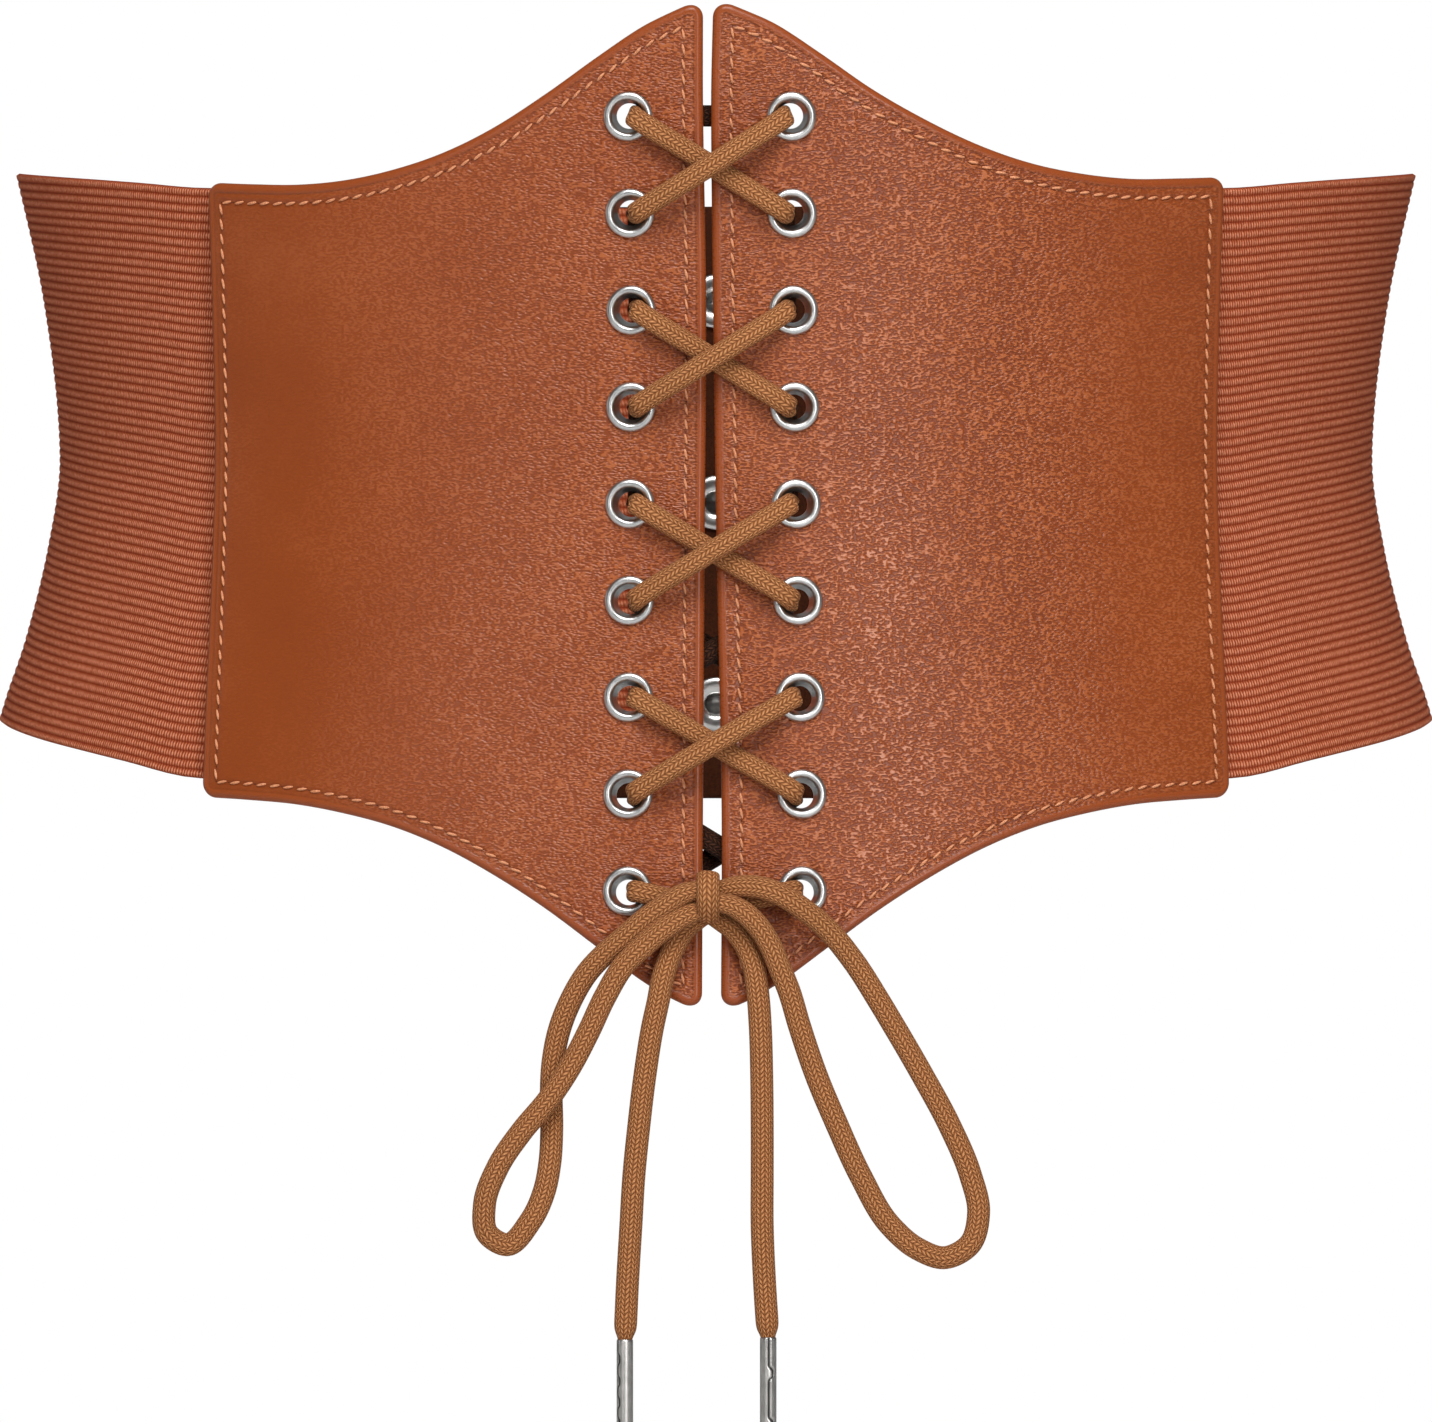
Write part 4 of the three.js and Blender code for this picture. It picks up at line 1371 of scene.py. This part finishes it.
def elastic_material():
    """Rounded ribs of small slanted picks, in four shades: the gaps darkened as painted shade and
    the high threads lightened as painted highlight.
    """
    material, tree, shader, coordinates = new_material("ribbed_elastic")
    split = tree.nodes.new("ShaderNodeSeparateXYZ")
    tree.links.new(coordinates.outputs["UV"], split.inputs[0])
    rib = math_node(tree, "MULTIPLY", split.outputs[1], float(rib_count))
    whole = math_node(tree, "FLOOR", rib)
    within = math_node(tree, "SUBTRACT", rib, whole)
    centred = math_node(tree, "SUBTRACT", within, 0.5)
    wobble = noise(tree, coordinates.outputs["Object"], 700, 2)
    along = math_node(tree, "DIVIDE", split.outputs[0], pick_pitch)
    along = math_node(tree, "MULTIPLY_ADD", centred, 0.5, along)
    along = math_node(tree, "MULTIPLY_ADD", wobble, 0.6, along)
    along = math_node(tree, "MULTIPLY_ADD", whole, 0.37, along)
    within_pick = math_node(tree, "FRACT", along)
    pick = math_node(tree, "SINE", math_node(tree, "MULTIPLY", within_pick, pi))
    arch = math_node(tree, "SINE", math_node(tree, "MULTIPLY", within, pi))
    arch = math_node(tree, "POWER", arch, 0.8)
    fluff = noise(tree, coordinates.outputs["Object"], 1500, 3)
    # Near the panel the picks stand apart. Further round they lie closer and blur.
    apart = map_range(tree, split.outputs[0], 0.015, 0.075, 0.75, 0.3)
    picks = math_node(tree, "MULTIPLY", pick, apart)
    gaps = math_node(tree, "SUBTRACT", 1.0, apart)
    high = math_node(tree, "MULTIPLY_ADD", gaps, 0.65, picks)
    high = math_node(tree, "MULTIPLY_ADD", fluff, 0.7, math_node(tree, "SUBTRACT", high, 0.3))
    height = math_node(tree, "MULTIPLY", high, math_node(tree, "MULTIPLY_ADD", arch, 0.75, 0.25))
    # The colour follows the height: painted shade in the gaps and painted highlight on the high
    # threads.
    colour = colour_ramp(tree, height, [
        (0.0, from_photo(112, 34, 13)), (0.35, from_photo(148, 63, 35)),
        (0.62, from_photo(180, 95, 62)), (0.9, from_photo(222, 142, 108)),
    ])
    tree.links.new(colour, shader.inputs["Base Color"])
    shader.inputs["Roughness"].default_value = 0.85
    shader.inputs["Specular IOR Level"].default_value = 0.1
    tree.links.new(bump(tree, height, 0.00018, 0.8), shader.inputs["Normal"])
    return material


elastic_look = elastic_material()

for side in ("left", "right"):
    rows = rib_count * rib_rows
    mesh = bmesh.new()
    uv_layer = mesh.loops.layers.uv.new("weave_map")
    weave = {}
    for outer in (True, False):
        made = bmesh.ops.create_grid(
            mesh, x_segments=elastic_columns, y_segments=rows, size=0.5
        )
        for index, vert in enumerate(made["verts"]):
            column = index % (elastic_columns + 1)
            row = index // (elastic_columns + 1)
            share = column / elastic_columns
            around = 1 - share if side == "left" else share
            turn, height = elastic_place(side, around, row / rows)
            phase = row % rib_rows / rib_rows
            dip = rib_depth * (1 - abs(sin(pi * phase)) ** rib_roundness)
            edge = row in (0, rows) or column in (0, elastic_columns)
            if edge:
                proud = -elastic_thickness / 2
            elif outer:
                proud = -dip
            else:
                proud = -elastic_thickness + dip
            vert.co = form_point(turn, height, proud)
            weave[vert] = (around * elastic_length, row / rows)
        if not outer:
            turned = {face for vert in made["verts"] for face in vert.link_faces}
            bmesh.ops.reverse_faces(mesh, faces=list(turned))
    for face in mesh.faces:
        for loop in face.loops:
            loop[uv_layer].uv = weave[loop.vert]
    elastic = finished(
        mesh, f"woven_elastic_{side}", elastic_look, [f"elastic_{side}"]
    )


# The closing strips at the centre back: two doubled strips of the same leather, sewn to the ends
# of the elastic. The left one laps over the right one, and three press-snaps hold them.
strip_thickness = 0.0018
strip_overlap = 0.028
strip_reach = 0.026
strip_height = 0.124
strip_top_step = 0.0015
strip_top = joint_top - strip_top_step
strip_radius = 0.003
snap_pitch = 0.042
seam_clearance = 0.0005
strip_stitch_inset = 0.003
strip_column_step = 0.0012
snap_heights = [strip_top - strip_height / 2 + step * snap_pitch for step in (1, 0, -1)]
snap_places = [
    (form_point(pi, height, 0), form_normal(pi, height, 0)) for height in snap_heights
]


def strip_shape(start):
    width = strip_overlap / 2 + strip_reach

    def top(across):
        return strip_top

    def bottom(across):
        return strip_top - strip_height

    def place(across, height, proud):
        turn = turn_along(across - start, height, 0, pi)
        return form_point(turn, height, proud)

    plain = even_marks(edge_lines[-1], width - edge_lines[-1], strip_column_step)
    marks = edge_lines[:-1] + plain[:-1] + [width - line for line in reversed(edge_lines)]
    radii = (strip_radius, strip_radius)
    insets = (strip_stitch_inset,) * 4
    return LeatherShape(width, radii, top, bottom, place, marks, insets)


# Each strip's distance from its start to the centre back, its inner face and its holes' radius.
strips = {
    "left": (strip_overlap / 2, seam_clearance, 0.0037),
    "right": (strip_reach, -elastic_thickness - seam_clearance - strip_thickness, 0.0032),
}
for side, (start, inner, hole) in strips.items():
    shape = strip_shape(start)
    holes = [(*place, hole) for place in snap_places]
    leather_piece(
        f"leather_strip_{side}", shape, inner, strip_thickness, holes, f"closure_strip_{side}"
    )
    stitched(f"strip_{side}", shape, inner + strip_thickness)


# The press-snaps: each has a domed cap with a socket through the outer strip, and a hollow stud
# on a ring through the inner one.
snap_metal = metal_material("snap_metal", (0.72, 0.71, 0.69), 0.3, 1200)
# Radius and height in millimetres, from the outside to the inside.
cap_profile = [
    (0, 3.75), (2.0, 3.72), (3.9, 3.55), (5.2, 3.2), (5.85, 2.85), (6.0, 2.68), (5.9, 2.6),
    (3.7, 2.6), (3.7, 0.2), (4.7, 0.2), (5.0, 0.1), (5.0, -0.6), (4.8, -0.7), (3.2, -0.7),
    (3.2, 2.6), (0, 2.6),
]
stud_profile = [
    (0, 2.3), (2.4, 2.28), (2.75, 2.15), (2.9, 1.8), (2.75, 1.0), (2.9, 0.2), (2.9, -4.1),
    (5.5, -4.1), (5.75, -4.2), (5.75, -4.4), (5.5, -4.7), (5.0, -4.95), (4.3, -5.0), (3.4, -4.9),
    (2.7, -4.7), (2.4, -4.4), (2.4, 1.8), (0, 1.8),
]
for index, place in enumerate(snap_places, 1):
    for name, node_name, profile in (
        ("snap_dome", "snap_cap", cap_profile), ("snap_post", "snap_stud", stud_profile),
    ):
        turned_metal(
            f"{name}_{index}", f"{node_name}_{index}", profile, *place, snap_metal, "snap_metal"
        )


# The studio: white paper that sweeps up behind the belt, and large soft lights in front of it,
# above it and at both sides.
def mix_shaders(tree, factor, first, second):
    node = tree.nodes.new("ShaderNodeMixShader")
    for socket, value in zip(node.inputs, (factor, first, second)):
        tree.links.new(value, socket)
    return node.outputs[0]


def studio_material():
    """White paper that the camera sees as pure white."""
    material, tree, shader, coordinates = new_material("white_paper")
    cloud = noise(tree, coordinates.outputs["Object"], 3, 2)
    colour = colour_ramp(tree, cloud, [(0.3, (0.8, 0.8, 0.8)), (0.7, (0.84, 0.84, 0.84))])
    tree.links.new(colour, shader.inputs["Base Color"])
    shader.inputs["Roughness"].default_value = 0.9
    bright = tree.nodes.new("ShaderNodeEmission")
    bright.inputs["Color"].default_value = (1, 1, 1, 1)
    bright.inputs["Strength"].default_value = 1.0
    seen = tree.nodes.new("ShaderNodeLightPath").outputs["Is Camera Ray"]
    paper = mix_shaders(tree, seen, shader.outputs[0], bright.outputs[0])
    # From behind the sweep can be seen through, so that it hides no side of the belt.
    behind = tree.nodes.new("ShaderNodeNewGeometry").outputs["Backfacing"]
    clear = tree.nodes.new("ShaderNodeBsdfTransparent").outputs[0]
    open_back = mix_shaders(tree, behind, paper, clear)
    tree.links.new(open_back, tree.nodes["Material Output"].inputs["Surface"])
    return material


floor_height = -0.32
floor_back = 1.2
sweep_bend = 1.0
sweep_reach = 6
mesh = bmesh.new()
front = mesh.verts.new((-sweep_reach, -sweep_reach, floor_height))
back = mesh.verts.new((-sweep_reach, floor_back, floor_height))
mesh.edges.new((front, back))
bend = bmesh.ops.spin(
    mesh, geom=[back], cent=(-sweep_reach, floor_back, floor_height + sweep_bend),
    axis=(1, 0, 0), angle=pi / 2, steps=16,
)
top = mesh.verts.new((-sweep_reach, floor_back + sweep_bend, sweep_reach))
mesh.edges.new((bend["geom_last"][0], top))
made = bmesh.ops.extrude_edge_only(mesh, edges=mesh.edges[:])
moved = [item for item in made["geom"] if isinstance(item, bmesh.types.BMVert)]
bmesh.ops.translate(mesh, verts=moved, vec=(2 * sweep_reach, 0, 0))
mesh.normal_update()
floor_face = min(mesh.faces, key=lambda face: face.calc_center_median().z)
if floor_face.normal.z < 0:
    bmesh.ops.reverse_faces(mesh, faces=mesh.faces[:])
for face in mesh.faces:
    face.smooth = True
sweep = mesh_object(mesh, "studio_sweep")
sweep.data.materials.append(studio_material())

world = bpy.data.worlds.new("soft_studio")
world.use_nodes = True
background = world.node_tree.nodes["Background"]
background.inputs["Color"].default_value = (1, 1, 1, 1)
background.inputs["Strength"].default_value = 0.07
bpy.context.scene.world = world
bpy.context.scene.view_settings.view_transform = "Standard"

# Name, azimuth to the right of the camera, elevation, distance, size and power.
lights = [
    ("key_softbox", 19, 6, 1.7, 0.36, 5.5),
    ("left_softbox", -27, 8, 1.8, 0.5, 2.3),
    ("top_softbox", 4, 48, 1.7, 0.9, 25),
    ("right_softbox", 86, 10, 1.8, 0.8, 0.4),
    ("far_left_softbox", -90, 10, 1.8, 0.8, 1.7),
]
light_target = Vector((0, 0, -0.02))
for name, azimuth, elevation, distance, size, power in lights:
    lifted = Matrix.Rotation(radians(-elevation), 3, "X") @ Vector((0, -1, 0))
    way = Matrix.Rotation(radians(azimuth), 3, "Z") @ lifted
    light_data = bpy.data.lights.new(name, "AREA")
    light_data.shape = "SQUARE"
    light_data.size = size
    light_data.energy = power
    light = bpy.data.objects.new(name, light_data)
    light.location = light_target + way * distance
    light.rotation_euler = way.to_track_quat("Z", "Y").to_euler()
    bpy.context.scene.collection.objects.link(light)
